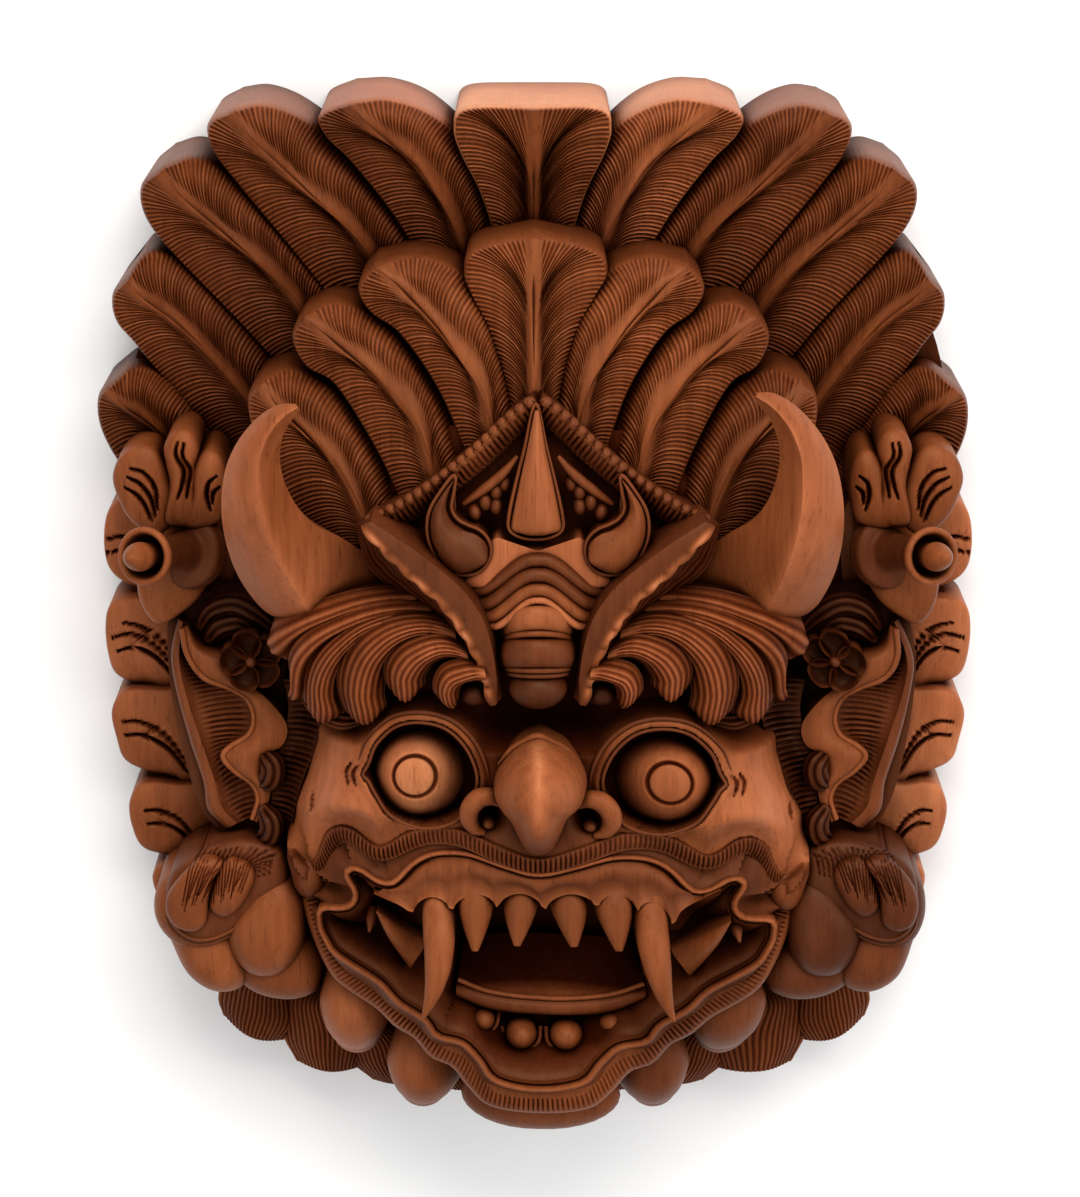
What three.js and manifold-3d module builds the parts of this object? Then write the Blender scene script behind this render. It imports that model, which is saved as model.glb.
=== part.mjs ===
// Carved wooden barong mask: one block of hardwood, carved in the round on the front
// and hollowed out behind. Millimetres. X is across the face, Y runs from chin to
// crown, Z points out of the face, and the flat back lies on Z = 0.

import * as THREE from 'three';
import { mergeVertices } from 'three/addons/utils/BufferGeometryUtils.js';
import Module from 'manifold-3d';

const wasm = await Module();
wasm.setup();

// ---------------------------------------------------------------- driving sizes
const CROWN_TOP = 252;          // highest feather edge above the middle of the block
const BEARD_LOW = -252;         // lowest lobe of the beard
const HALF_WIDTH = 208;         // feathers and clouds at the sides
const FACE_HALF = 127;          // face, ear to middle
const BLOCK_DEPTH = 42;         // clouds at the sides, front to back
const BOARD_DEPTH = 36;         // backboard that everything stands on
const FACE_DEPTH = 72;          // face at its outer edge
const MOUTH_FLOOR = 66;         // back of the mouth pocket
const EYE = { x: 55, y: -56, z: 118, radius: 20 };

const WOOD = new THREE.MeshStandardMaterial({ color: 0x7a3f22, roughness: 0.5, metalness: 0 });

// ---------------------------------------------------------------- small helpers
const vec = (point) => new THREE.Vector3(...point);
const bump = (x, y, rx, ry) => Math.exp(-((x / rx) ** 2) - (y / ry) ** 2);

function closedSolid(positions, faces) {
  const geometry = new THREE.BufferGeometry();
  geometry.setAttribute('position', new THREE.Float32BufferAttribute(positions.flat(), 3));
  geometry.setIndex(faces.flat());
  return geometry;
}

// The same geometry on the other side of the face.
function mirrored(geometry) {
  const copy = geometry.clone();
  copy.scale(-1, 1, 1);
  const index = copy.index.array;
  for (let i = 0; i < index.length; i += 3) [index[i], index[i + 1]] = [index[i + 1], index[i]];
  return copy;
}

function welded(geometry) {
  const bare = geometry.clone();
  bare.deleteAttribute('normal');
  bare.deleteAttribute('uv');
  return mergeVertices(bare, 1e-3);
}

function solid(geometry) {
  const merged = welded(geometry);
  const mesh = new wasm.Mesh({
    numProp: 3,
    vertProperties: Float32Array.from(merged.attributes.position.array),
    triVerts: Uint32Array.from(merged.index.array),
  });
  return new wasm.Manifold(mesh);
}

const bothSides = (geometry) => [geometry, mirrored(geometry)];

// ---------------------------------------------------------------- shape makers

// A relief: a grid of rows and columns seen from above, with walls down to a floor.
function relief(grid, floor) {
  const rows = grid.length;
  const columns = grid[0].length;
  const at = (row, column) => row * columns + column;
  const positions = grid.flat();
  const faces = [];
  for (let row = 0; row < rows - 1; row += 1) {
    for (let column = 0; column < columns - 1; column += 1) {
      const [a, b] = [at(row, column), at(row, column + 1)];
      const [c, d] = [at(row + 1, column), at(row + 1, column + 1)];
      faces.push([a, b, d], [a, d, c]);
    }
  }
  const rim = [];
  for (let column = 0; column < columns; column += 1) rim.push(at(0, column));
  for (let row = 1; row < rows; row += 1) rim.push(at(row, columns - 1));
  for (let column = columns - 2; column >= 0; column -= 1) rim.push(at(rows - 1, column));
  for (let row = rows - 2; row > 0; row -= 1) rim.push(at(row, 0));
  const base = positions.length;
  const outline = rim.map((index) => new THREE.Vector2(positions[index][0], positions[index][1]));
  rim.forEach((index) => positions.push([positions[index][0], positions[index][1], floor]));
  rim.forEach((index, i) => {
    const next = (i + 1) % rim.length;
    faces.push([index, base + i, base + next], [index, base + next, rim[next]]);
  });
  THREE.ShapeUtils.triangulateShape(outline, []).forEach(([a, b, c]) => {
    faces.push([base + a, base + c, base + b]);
  });
  return closedSolid(positions, faces);
}

// A feather: a vane each side of a bowed spine, rounded at the tip. The outer vane is
// on the side away from the middle of the crown.
const FEATHER_COLUMNS = [-1, -0.55, 0, 0.55, 1];
const FEATHER_HEIGHTS = [-2, 2, -2, 3, -5];
const FEATHER_ROWS = [0, 0.5, 0.82, 0.94, 0.992];

function feather({ root, tip, bow, outer, inner, rounds = [20, 40], floor = 0 }) {
  const [start, end] = [vec(root), vec(tip)];
  const along = end.clone().sub(start);
  const across = new THREE.Vector3(along.y, -along.x, 0).normalize();
  const middle = start.clone().lerp(end, 0.5).addScaledVector(across, 2 * bow);
  const spine = new THREE.QuadraticBezierCurve3(start, middle, end);
  const length = spine.getLength();
  const taper = (t, round) => {
    const past = Math.max(0, 1 - ((1 - t) * length) / round);
    return Math.sqrt(Math.max(0, 1 - past ** 2));
  };
  const grid = FEATHER_ROWS.map((t) => {
    const point = spine.getPoint(t);
    const tangent = spine.getTangent(t);
    const side = new THREE.Vector3(tangent.y, -tangent.x, 0).normalize();
    return FEATHER_COLUMNS.map((s, i) => {
      const [vane, round] = s < 0 ? [outer, rounds[0]] : [inner, rounds[1]];
      const width = THREE.MathUtils.lerp(vane[0], vane[1], t) * taper(t, round);
      const place = point.clone().addScaledVector(side, s * width);
      return [place.x, place.y, point.z + FEATHER_HEIGHTS[i] * taper(t, round)];
    });
  });
  return relief(grid, floor);
}

// A round or oval body along a curve through points, each with its own radius.
function sweep(points, radii, { sides = 8, flat = 1, steps = 8 } = {}) {
  const curve = new THREE.CatmullRomCurve3(points.map(vec));
  const sizes = new THREE.CatmullRomCurve3(radii.map((r) => new THREE.Vector3(r, 0, 0)));
  const positions = [];
  const faces = [];
  for (let i = 0; i <= steps; i += 1) {
    const t = i / steps;
    const centre = curve.getPoint(t);
    const tangent = curve.getTangent(t);
    const side = new THREE.Vector3(tangent.y, -tangent.x, 0);
    if (side.lengthSq() < 1e-6) side.set(1, 0, 0);
    side.normalize();
    const up = side.clone().cross(tangent).normalize();
    const radius = Math.max(sizes.getPoint(t).x, 0.4);
    for (let j = 0; j < sides; j += 1) {
      const turn = (2 * Math.PI * j) / sides;
      const place = centre.clone()
        .addScaledVector(side, radius * Math.cos(turn))
        .addScaledVector(up, radius * flat * Math.sin(turn));
      positions.push(place.toArray());
    }
  }
  for (let i = 0; i < steps; i += 1) {
    for (let j = 0; j < sides; j += 1) {
      const next = (j + 1) % sides;
      const [a, b] = [i * sides + j, i * sides + next];
      faces.push([a, a + sides, b + sides], [a, b + sides, b]);
    }
  }
  for (let j = 1; j < sides - 1; j += 1) {
    const last = steps * sides;
    faces.push([0, j, j + 1], [last, last + j + 1, last + j]);
  }
  return outward(closedSolid(positions, faces));
}

// Turns a closed body's faces outwards if its signed volume says they point in.
function outward(geometry) {
  const place = geometry.attributes.position;
  const index = geometry.index.array;
  let volume = 0;
  for (let i = 0; i < index.length; i += 3) {
    const [a, b, c] = [0, 1, 2].map((k) => new THREE.Vector3().fromBufferAttribute(place, index[i + k]));
    volume += a.dot(b.cross(c));
  }
  if (volume < 0) {
    for (let i = 0; i < index.length; i += 3) [index[i], index[i + 1]] = [index[i + 1], index[i]];
  }
  return geometry;
}

function blob([x, y, z], [rx, ry, rz], sides = 12, tilt = 0) {
  const geometry = new THREE.SphereGeometry(1, sides, Math.round(sides * 0.6));
  geometry.rotateX(Math.PI / 2);
  geometry.scale(rx, ry, rz);
  geometry.rotateZ(tilt);
  geometry.translate(x, y, z);
  return geometry;
}

// A thick slab with a closed outline, smoothed between its points, and its front
// edge eased back all round.
function slab(points, floor, top, ease = 4, divisions = 3) {
  const curve = new THREE.CatmullRomCurve3(points.map(([x, y]) => new THREE.Vector3(x, y, 0)), true);
  const outline = curve.getPoints(points.length * divisions).slice(0, -1);
  if (THREE.ShapeUtils.isClockWise(outline)) outline.reverse();
  const count = outline.length;
  const rings = ease > 0 ? [[floor, 0], [top - ease, 0], [top, ease]] : [[floor, 0], [top, 0]];
  const positions = [];
  rings.forEach(([z, inset]) => {
    outline.forEach((point, i) => {
      const before = outline[(i + count - 1) % count];
      const after = outline[(i + 1) % count];
      const inward = new THREE.Vector2(before.y - after.y, after.x - before.x).normalize();
      positions.push([point.x + inset * inward.x, point.y + inset * inward.y, z]);
    });
  });
  const faces = [];
  for (let ring = 0; ring < rings.length - 1; ring += 1) {
    for (let i = 0; i < count; i += 1) {
      const [a, b] = [ring * count + i, ring * count + ((i + 1) % count)];
      faces.push([a, b, b + count], [a, b + count, a + count]);
    }
  }
  const last = (rings.length - 1) * count;
  THREE.ShapeUtils.triangulateShape(outline, []).forEach(([a, b, c]) => {
    faces.push([a, c, b], [last + a, last + b, last + c]);
  });
  return closedSolid(positions, faces);
}

// A slab with an oval outline, turned by an angle.
function ovalSlab([x, y], [rx, ry], turn, floor, top, ease = 4) {
  const corners = 8;
  const outline = [];
  for (let i = 0; i < corners; i += 1) {
    const angle = (2 * Math.PI * i) / corners;
    const [u, v] = [rx * Math.cos(angle), ry * Math.sin(angle)];
    outline.push([x + u * Math.cos(turn) - v * Math.sin(turn), y + u * Math.sin(turn) + v * Math.cos(turn)]);
  }
  return slab(outline, floor, top, ease, 1);
}

// ---------------------------------------------------------------- the crown

const OUTER_TIER = [
  { root: [-28, 152, 50], tip: [-91, 247, 90], bow: 13, outer: [20, 22], inner: [18, 32] },
  { root: [-58, 140, 48], tip: [-147, 243, 86], bow: 6, outer: [24, 22], inner: [20, 34] },
  { root: [-90, 118, 46], tip: [-180, 218, 81], bow: 4, outer: [24, 22], inner: [18, 33] },
  { root: [-120, 82, 44], tip: [-197, 168, 75], bow: 4, outer: [23, 23], inner: [18, 32] },
  { root: [-148, 52, 42], tip: [-203, 112, 68], bow: 4, outer: [26, 28], inner: [18, 30] },
];

const INNER_TIER = [
  { root: [-16, 96, 122], tip: [-78, 182, 112], bow: 9, outer: [14, 18], inner: [16, 30] },
  { root: [-46, 78, 120], tip: [-110, 158, 108], bow: 8, outer: [17, 18], inner: [16, 29] },
  { root: [-76, 52, 116], tip: [-129, 126, 103], bow: 6, outer: [20, 18], inner: [18, 28] },
];

// The middle feather of a tier is a fan with an even vane each side.
function middleFeather(root, tip, halfWidth, floor) {
  const vane = [halfWidth * 0.32, halfWidth];
  return feather({ root, tip, bow: 0, outer: vane, inner: vane, rounds: [22, 22], floor });
}

function crown() {
  const pieces = [
    middleFeather([0, 146, 54], [0, CROWN_TOP, 92], 34, 0),
    middleFeather([0, 92, 126], [0, 194, 119], 31, BLOCK_DEPTH / 2),
  ];
  OUTER_TIER.forEach((plan) => pieces.push(...bothSides(feather(plan))));
  INNER_TIER.forEach((plan) => {
    pieces.push(...bothSides(feather({ ...plan, floor: BLOCK_DEPTH / 2 })));
  });
  return pieces;
}

// ---------------------------------------------------------------- the head

// Height of the carved face above the back, before the features are added.
function faceHeight(x, y) {
  const across = Math.max(0, 1 - (x / (FACE_HALF + 3)) ** 2);
  const lengthwise = y > -40 ? 140 - 0.1 * (y + 40) : 140 - 0.0011 * (y + 40) ** 2;
  const dome = FACE_DEPTH + (lengthwise - FACE_DEPTH) * across ** 0.55;
  const side = Math.abs(x);
  const cheek = 12 * bump(side - 94, y + 74, 32, 34);
  const socket = 16 * bump(side - EYE.x, y - EYE.y, 24, 22);
  return dome + cheek - socket;
}

function head() {
  const centre = [0, -72];
  const [rings, spokes] = [6, 20];
  const grid = [];
  for (let ring = 0; ring <= rings; ring += 1) {
    const row = [];
    for (let spoke = 0; spoke < spokes; spoke += 1) {
      const turn = (2 * Math.PI * spoke) / spokes;
      const reach = Math.sin(turn) > 0 ? 170 : 158;
      const x = centre[0] + (ring / rings) * FACE_HALF * Math.cos(turn);
      const y = centre[1] + (ring / rings) * reach * Math.sin(turn);
      row.push([x, y, faceHeight(x, y)]);
    }
    grid.push(row);
  }
  return roundRelief(grid);
}

// A relief whose rows are rings round a middle point, with walls down to the back.
function roundRelief(grid) {
  const spokes = grid[0].length;
  const positions = [grid[0][0], ...grid.slice(1).flat()];
  const faces = [];
  const at = (ring, spoke) => 1 + (ring - 1) * spokes + (spoke % spokes);
  const rings = grid.length - 1;
  for (let spoke = 0; spoke < spokes; spoke += 1) {
    faces.push([0, at(1, spoke), at(1, spoke + 1)]);
    for (let ring = 1; ring < rings; ring += 1) {
      const [a, b] = [at(ring, spoke), at(ring, spoke + 1)];
      const [c, d] = [at(ring + 1, spoke), at(ring + 1, spoke + 1)];
      faces.push([a, c, d], [a, d, b]);
    }
  }
  const base = positions.length;
  grid[rings].forEach(([x, y]) => positions.push([x, y, 0]));
  positions.push([grid[0][0][0], grid[0][0][1], 0]);
  for (let spoke = 0; spoke < spokes; spoke += 1) {
    const next = (spoke + 1) % spokes;
    const [a, b] = [at(rings, spoke), at(rings, next)];
    faces.push([a, base + spoke, base + next], [a, base + next, b]);
    faces.push([base + spokes, base + next, base + spoke]);
  }
  return closedSolid(positions, faces);
}

function eyes() {
  return bothSides(blob([-EYE.x, EYE.y, EYE.z], [EYE.radius, EYE.radius, EYE.radius], 10));
}

function nose() {
  const bridgeEnd = [0, -10, 150];
  return [
    blob([0, -55, 156], [21, 26, 30], 9),
    sweep([bridgeEnd, [0, -30, 152], [0, -52, 150]], [15, 16, 18], { steps: 3 }),
    ...bothSides(sweep(
      [[-17, -50, 146], [-27, -56, 146], [-31, -68, 144], [-22, -76, 144]],
      [6, 8, 9, 6],
      { steps: 5 },
    )),
  ];
}

// Five rings stand one above another on the bridge of the nose.
function bridgeRings() {
  const rings = [
    { y: 52, z: 146, radius: 28, half: 8 },
    { y: 38, z: 152, radius: 24, half: 7 },
    { y: 24, z: 156, radius: 20, half: 7 },
    { y: 8, z: 158, radius: 17, half: 8 },
    { y: -7, z: 158, radius: 14, half: 7 },
  ];
  return rings.map(({ y, z, radius, half }) => blob([0, y, z - 8], [radius, half, 20], 8));
}

// The diadem: a gable with a spike, two horned crescents and a shelf.
function diadem() {
  const gable = [[0, 125], [-40, 100], [-76, 74], [-58, 44], [-20, 30], [20, 30], [58, 44], [76, 74],
    [40, 100]];
  const crescent = [[-43, 102, 150], [-50, 84, 154], [-46, 68, 156], [-34, 58, 156], [-24, 62, 152]];
  return [
    slab(gable, 60, 142, 2, 1),
    ...bothSides(sweep([[0, 126, 148], [-38, 103, 152], [-77, 75, 158]], [3, 5, 5], { steps: 4 })),
    sweep([[0, 122, 150], [0, 95, 153], [0, 70, 154]], [2, 8, 12], { steps: 4, flat: 0.7 }),
    ...bothSides(sweep(crescent, [2, 6, 10, 9, 3], { steps: 6 })),
  ];
}

// The two walls that run from the corners of the diadem to the root of the nose.
function flanges() {
  const ridge = [[-77, 73, 160], [-58, 44, 163], [-38, 14, 164], [-22, -20, 164]];
  const foot = ridge.map(([x, y]) => [x - 4, y, 100]);
  const positions = [];
  const width = 6;
  ridge.forEach(([x, y, z], i) => {
    const [left, low] = [foot[i][0], foot[i][2]];
    positions.push([x - width, y, z - 3], [x + width, y + 2, z], [left + 14, y, low], [left - 8, y, low]);
  });
  const faces = [];
  for (let i = 0; i < ridge.length - 1; i += 1) {
    for (let j = 0; j < 4; j += 1) {
      const next = (j + 1) % 4;
      const [a, b] = [i * 4 + j, i * 4 + next];
      faces.push([a, b, b + 4], [a, b + 4, a + 4]);
    }
  }
  const last = (ridge.length - 1) * 4;
  faces.push([0, 2, 1], [0, 3, 2], [last, last + 1, last + 2], [last, last + 2, last + 3]);
  return bothSides(outward(closedSolid(positions, faces)));
}

function horns() {
  const radii = [34, 30, 25, 19, 13, 7, 1.5];
  const left = [[-80, 24, 118], [-98, 38, 134], [-112, 52, 144], [-123, 71, 152],
    [-128, 92, 158], [-124, 112, 161], [-111, 127, 162]];
  const right = left.map(([x, y, z]) => [-x - 0.06 * (y - 24), y + 0.05 * (y - 24), z]);
  return [left, right].map((line) => sweep(line, radii, { steps: 8, sides: 8, flat: 0.8 }));
}

// Each brow is five heavy locks that roll over from the horn towards the nose.
function brows() {
  const locks = [
    { from: [-34, 6], to: [-24, -12], radius: 10, z: 142 },
    { from: [-56, 18], to: [-40, -8], radius: 12, z: 141 },
    { from: [-76, 26], to: [-60, -14], radius: 15, z: 136 },
    { from: [-95, 26], to: [-84, -16], radius: 16, z: 128 },
    { from: [-116, 24], to: [-104, -12], radius: 13, z: 118 },
  ];
  return locks.flatMap(({ from, to, radius, z }) => {
    const bend = [(from[0] + to[0]) / 2 - 6, (from[1] + to[1]) / 2 + 2, z + 4];
    const line = [[...from, z], bend, [...to, z - 2]];
    return bothSides(sweep(line, [radius * 0.7, radius, radius * 0.55], { steps: 3, sides: 6 }));
  });
}

// ---------------------------------------------------------------- the mouth

const LIP_UPPER = [[-116, -100, 92], [-104, -98, 106], [-90, -88, 117], [-76, -100, 124], [-58, -86, 134],
  [-30, -84, 142], [0, -90, 150]];
const LIP_LOWER = [[-116, -100, 92], [-114, -134, 92], [-100, -158, 98], [-72, -176, 108], [-48, -198, 118],
  [-28, -216, 124], [0, -221, 126]];
const CUT_THROUGH = 230;        // a cutter's far end, clear in front of the face

function mouthPocket() {
  const half = [[0, -96], [-30, -92], [-58, -94], [-78, -106], [-97, -130], [-88, -150], [-62, -168],
    [-42, -190], [-24, -206]];
  const points = [...half, [0, -208], ...half.slice(1).reverse().map(([x, y]) => [-x, y])];
  return slab(points, MOUTH_FLOOR, CUT_THROUGH, 0, 1);
}

function lips() {
  const mirrorLine = (line) => [...line, ...line.slice(0, -1).reverse().map(([x, y, z]) => [-x, y, z])];
  const upper = mirrorLine(LIP_UPPER);
  const lower = mirrorLine(LIP_LOWER);
  return [
    sweep(upper, upper.map(() => 8), { steps: 14, sides: 5 }),
    sweep(lower, lower.map(() => 9), { steps: 14, sides: 5 }),
  ];
}

function teeth() {
  const pieces = [];
  const row = [[-27, -92, 17], [-9, -92, 17]];
  row.forEach(([x, y, width]) => {
    const line = [[x, y, 138], [x, y - 18, 140], [x * 1.04, y - 38, 136]];
    pieces.push(...bothSides(sweep(line, [width / 2, width / 2.6, 0.8], { steps: 3, sides: 6 })));
  });
  const fang = [[-44, -84, 122], [-46, -104, 134], [-52, -128, 142], [-54, -150, 144], [-50, -172, 142]];
  const tusk = [[-58, -150, 60], [-62, -146, 106], [-76, -132, 124], [-86, -114, 132], [-90, -102, 134]];
  pieces.push(...bothSides(sweep(fang, [10, 10, 8, 6, 1], { steps: 5, sides: 6 })));
  pieces.push(...bothSides(sweep(tusk, [10, 10, 7, 4, 1], { steps: 5, sides: 6 })));
  [[-9, -188, 8.5], [-28, -182, 6]].forEach(([x, y, radius]) => {
    pieces.push(...bothSides(blob([x, y, 92], [radius, radius, 38], 6)));
  });
  return pieces;
}

function tongueAndChin() {
  const tongue = [[-42, -158], [-40, -172], [0, -178], [40, -172], [42, -158], [0, -152]];
  const chin = [[-58, -180], [-36, -214], [-18, -232], [0, -236], [18, -232], [36, -214], [58, -180],
    [0, -170]];
  return { tongue: slab(tongue, MOUTH_FLOOR - 10, 104, 4, 1), chin: slab(chin, 0, 118, 6, 2) };
}

// ---------------------------------------------------------------- the sides

function ears() {
  const outline = [[-167, 2], [-175, -34], [-166, -66], [-150, -90], [-126, -102], [-112, -80],
    [-116, -40], [-124, 0], [-140, 12]];
  return bothSides(slab(outline, 0, 80, 8, 2));
}

// A leaf spray behind the ear, with a stepped trumpet plug standing on it.
function earOrnament() {
  const petals = [
    { at: [-180, 92], size: [14, 20], turn: 0.35, top: 88 },
    { at: [-163, 98], size: [8, 22], turn: 0, top: 92 },
    { at: [-148, 92], size: [9, 20], turn: -0.15, top: 92 },
    { at: [-160, 58], size: [20, 38], turn: 0, top: 84 },
    { at: [-168, 34], size: [12, 20], turn: -0.2, top: 80 },
  ];
  const plug = [[-159, 46, 80], [-161, 47, 104], [-166, 50, 112], [-169, 52, 120], [-172, 54, 132],
    [-176, 56, 146]];
  const pieces = petals.map(({ at, size, turn, top }) => ovalSlab(at, size, turn, 0, top));
  pieces.push(sweep(plug, [18, 17, 12, 13, 8, 2], { steps: 5, sides: 6 }));
  return pieces.flatMap(bothSides);
}

function cheekFlowers() {
  return bothSides(blob([-128, -2, 84], [14, 14, 26], 7));
}

// A half-open bud hangs below each ear.
function buds() {
  return [
    ...bothSides(blob([-144, -140, 52], [34, 30, 40], 9)),
    ...bothSides(blob([-152, -120, 52], [26, 24, 30], 8)),
    ...bothSides(blob([-124, -160, 50], [22, 20, 34], 8)),
  ];
}

// Clouds down each side, then tufts and round bulbs of beard under the jaw.
function cloudsAndBeard() {
  const clouds = [[-178, 33, 27, 25], [-179, -14, 26, 25], [-177, -61, 26, 24], [-170, -106, 26, 23],
    [-158, -138, 28, 22]];
  const tufts = [[-134, -200, 24, 20, -0.7], [-108, -216, 26, 20, -0.4], [-72, -229, 26, 20, -0.2],
    [-34, -233, 22, 19, 0]];
  const bulbs = [[-88, -193, 17], [-52, -214, 18]];
  const pieces = [];
  clouds.forEach(([x, y, rx, ry]) => {
    const reach = HALF_WIDTH + x;
    const upper = [[x - reach * 0.5, y + ry], [x - reach * 0.88, y + ry * 0.75], [x - reach, y + ry * 0.3]];
    const lower = upper.map(([u, v]) => [u, 2 * y - v]).reverse();
    const lobe = [[x + rx, y - ry], [x + rx, y + ry], ...upper, ...lower];
    const limit = y < -90 ? 10 - 0.2 * (y + 90) : 0;
    pieces.push(...bothSides(slab(lobe.map(([u, v]) => [u + limit, v]), 0, BLOCK_DEPTH, 5, 1)));
  });
  tufts.forEach(([x, y, rx, ry, turn]) => {
    pieces.push(...bothSides(ovalSlab([x, y], [rx, ry], turn, 0, 32)));
  });
  bulbs.forEach(([x, y, radius]) => {
    pieces.push(...bothSides(blob([x, y, 54], [radius, radius, 24], 8)));
  });
  return pieces;
}

// The board that joins everything at the back.
function backboard() {
  const half = [[0, 238], [-90, 232], [-150, 205], [-185, 160], [-190, 90], [-182, 30], [-180, -60],
    [-166, -120], [-140, -180], [-90, -222], [-40, -240]];
  const points = [...half, [0, -240], ...half.slice(1).reverse().map(([x, y]) => [-x, y])];
  return slab(points, 0, BOARD_DEPTH, 0, 1);
}

// The crown's inner tier stands on a swelling behind the diadem.
function crownSwelling() {
  return blob([0, 60, 40], [112, 96, 74], 10);
}

// ---------------------------------------------------------------- one solid

// The back is scooped out: deep behind the brow, shallow behind the mouth pocket.
function hollow() {
  return [
    blob([0, 20, 0], [116, 106, 86], 12),
    blob([0, -62, 0], [112, 136, 44], 12),
  ];
}

// What the sawn block's flat faces take off: below the back, above the crown and
// under the beard.
function outsideBlock() {
  const size = 600;
  const places = [[0, 0, -size / 2], [0, CROWN_TOP + size / 2, 0], [0, BEARD_LOW - size / 2, 0]];
  return places.map((place) => new THREE.BoxGeometry(size, size, size).translate(...place));
}

const { tongue, chin } = tongueAndChin();
const mass = wasm.Manifold.union([
  backboard(), crownSwelling(), head(), chin, ...eyes(), ...nose(), ...bridgeRings(), ...diadem(),
  ...flanges(), ...horns(), ...brows(), ...crown(), ...ears(), ...earOrnament(), ...cheekFlowers(),
  ...buds(), ...cloudsAndBeard(),
].map(solid));
const withMouth = mass.subtract(solid(mouthPocket()));
const furnished = wasm.Manifold.union([withMouth, ...[...lips(), ...teeth(), tongue].map(solid)]);
const cutters = wasm.Manifold.union([...hollow(), ...outsideBlock()].map(solid));
const carved = furnished.subtract(cutters);

// Wood is solid, so a pocket closed off between overlapping forms is filled: of the
// separate skins of the mesh only the outermost, which encloses the most, is kept.
function outerSkin({ vertProperties, triVerts }) {
  const parent = Array.from({ length: vertProperties.length / 3 }, (_, i) => i);
  const rootOf = (i) => {
    let node = i;
    while (parent[node] !== node) {
      parent[node] = parent[parent[node]];
      node = parent[node];
    }
    return node;
  };
  for (let i = 0; i < triVerts.length; i += 3) {
    parent[rootOf(triVerts[i])] = rootOf(triVerts[i + 1]);
    parent[rootOf(triVerts[i + 1])] = rootOf(triVerts[i + 2]);
  }
  const corner = (i) => new THREE.Vector3().fromArray(vertProperties, 3 * triVerts[i]);
  const skins = new Map();
  for (let i = 0; i < triVerts.length; i += 3) {
    const root = rootOf(triVerts[i]);
    if (!skins.has(root)) skins.set(root, { volume: 0, triangles: [] });
    const skin = skins.get(root);
    skin.volume += corner(i).dot(corner(i + 1).cross(corner(i + 2))) / 6;
    skin.triangles.push(triVerts[i], triVerts[i + 1], triVerts[i + 2]);
  }
  return [...skins.values()].sort((a, b) => b.volume - a.volume)[0].triangles;
}

const result = carved.getMesh();
const geometry = new THREE.BufferGeometry();
geometry.setAttribute('position', new THREE.Float32BufferAttribute(result.vertProperties, 3));
geometry.setIndex(outerSkin(result));
geometry.computeVertexNormals();

const mask = new THREE.Mesh(geometry, WOOD);
mask.name = 'carved_mask';

const group = new THREE.Group();
group.add(mask);

export default group;
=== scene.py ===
"""Looks of a carved wooden barong mask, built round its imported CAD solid.

The CAD holds the block's size and place. The carving here is worked out in
millimetres in the same frame: +X across the face, +Y to the crown, +Z out of the
face, with the back of the block on Z = 0. Every curve listed is one line that a
carver would draw on the block, and what repeats along it is made by a loop.
"""

import math

import bpy
import numpy as np
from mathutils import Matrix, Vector


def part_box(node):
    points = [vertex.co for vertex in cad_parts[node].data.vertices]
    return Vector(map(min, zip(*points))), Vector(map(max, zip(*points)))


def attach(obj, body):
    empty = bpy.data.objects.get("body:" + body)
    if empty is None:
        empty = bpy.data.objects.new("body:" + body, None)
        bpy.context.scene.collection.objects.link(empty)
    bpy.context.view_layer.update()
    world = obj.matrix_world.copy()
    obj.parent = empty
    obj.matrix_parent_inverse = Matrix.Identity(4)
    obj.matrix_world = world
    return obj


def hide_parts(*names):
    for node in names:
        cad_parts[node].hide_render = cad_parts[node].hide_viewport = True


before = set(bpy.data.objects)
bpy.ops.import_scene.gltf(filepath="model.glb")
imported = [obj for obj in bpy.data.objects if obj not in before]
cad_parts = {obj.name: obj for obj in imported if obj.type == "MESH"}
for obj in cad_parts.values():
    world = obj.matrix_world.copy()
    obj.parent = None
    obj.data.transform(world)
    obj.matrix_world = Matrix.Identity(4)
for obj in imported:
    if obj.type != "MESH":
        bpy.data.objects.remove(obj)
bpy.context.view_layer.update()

MM = 0.001
NODE = "carved_mask"
BLOCK_LOW, BLOCK_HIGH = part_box(NODE)
HATCH_PITCH = 2.35      # between two cuts of the V-tool, on feathers and lips
CUT_SAMPLES = 4         # rows of points from one such cut to the next
ABOVE_BOARD = 0.6       # outer forms stop this far in front of the flat back
rng = np.random.default_rng(7)


# ------------------------------------------------------------------ curves

def spline(points, count, closed=False):
    """Points spaced evenly along a Catmull-Rom curve through the given points."""
    knots = np.array(points, dtype=float)
    if closed:
        knots = np.vstack([knots[-1:], knots, knots[:2]])
    else:
        knots = np.vstack([2 * knots[0] - knots[1], knots, 2 * knots[-1] - knots[-2]])
    fine = []
    for i in range(1, len(knots) - 2):
        a, b, c, d = knots[i - 1], knots[i], knots[i + 1], knots[i + 2]
        t = np.linspace(0, 1, 24, endpoint=False)[:, None]
        fine.append(0.5 * (2 * b + (c - a) * t + (2 * a - 5 * b + 4 * c - d) * t ** 2
                           + (3 * b - a - 3 * c + d) * t ** 3))
    fine.append(knots[-2:-1])
    return resample(np.vstack(fine), count, closed)


def resample(line, count, closed=False):
    """The same polyline with evenly spaced points."""
    reach = np.concatenate([[0], np.cumsum(np.linalg.norm(np.diff(line, axis=0), axis=1))])
    at = np.linspace(0, reach[-1], count, endpoint=not closed)
    return np.stack([np.interp(at, reach, line[:, k]) for k in range(line.shape[1])], axis=1)


def length_of(line):
    """How long a polyline is."""
    return float(np.linalg.norm(np.diff(line, axis=0), axis=1).sum())


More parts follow.
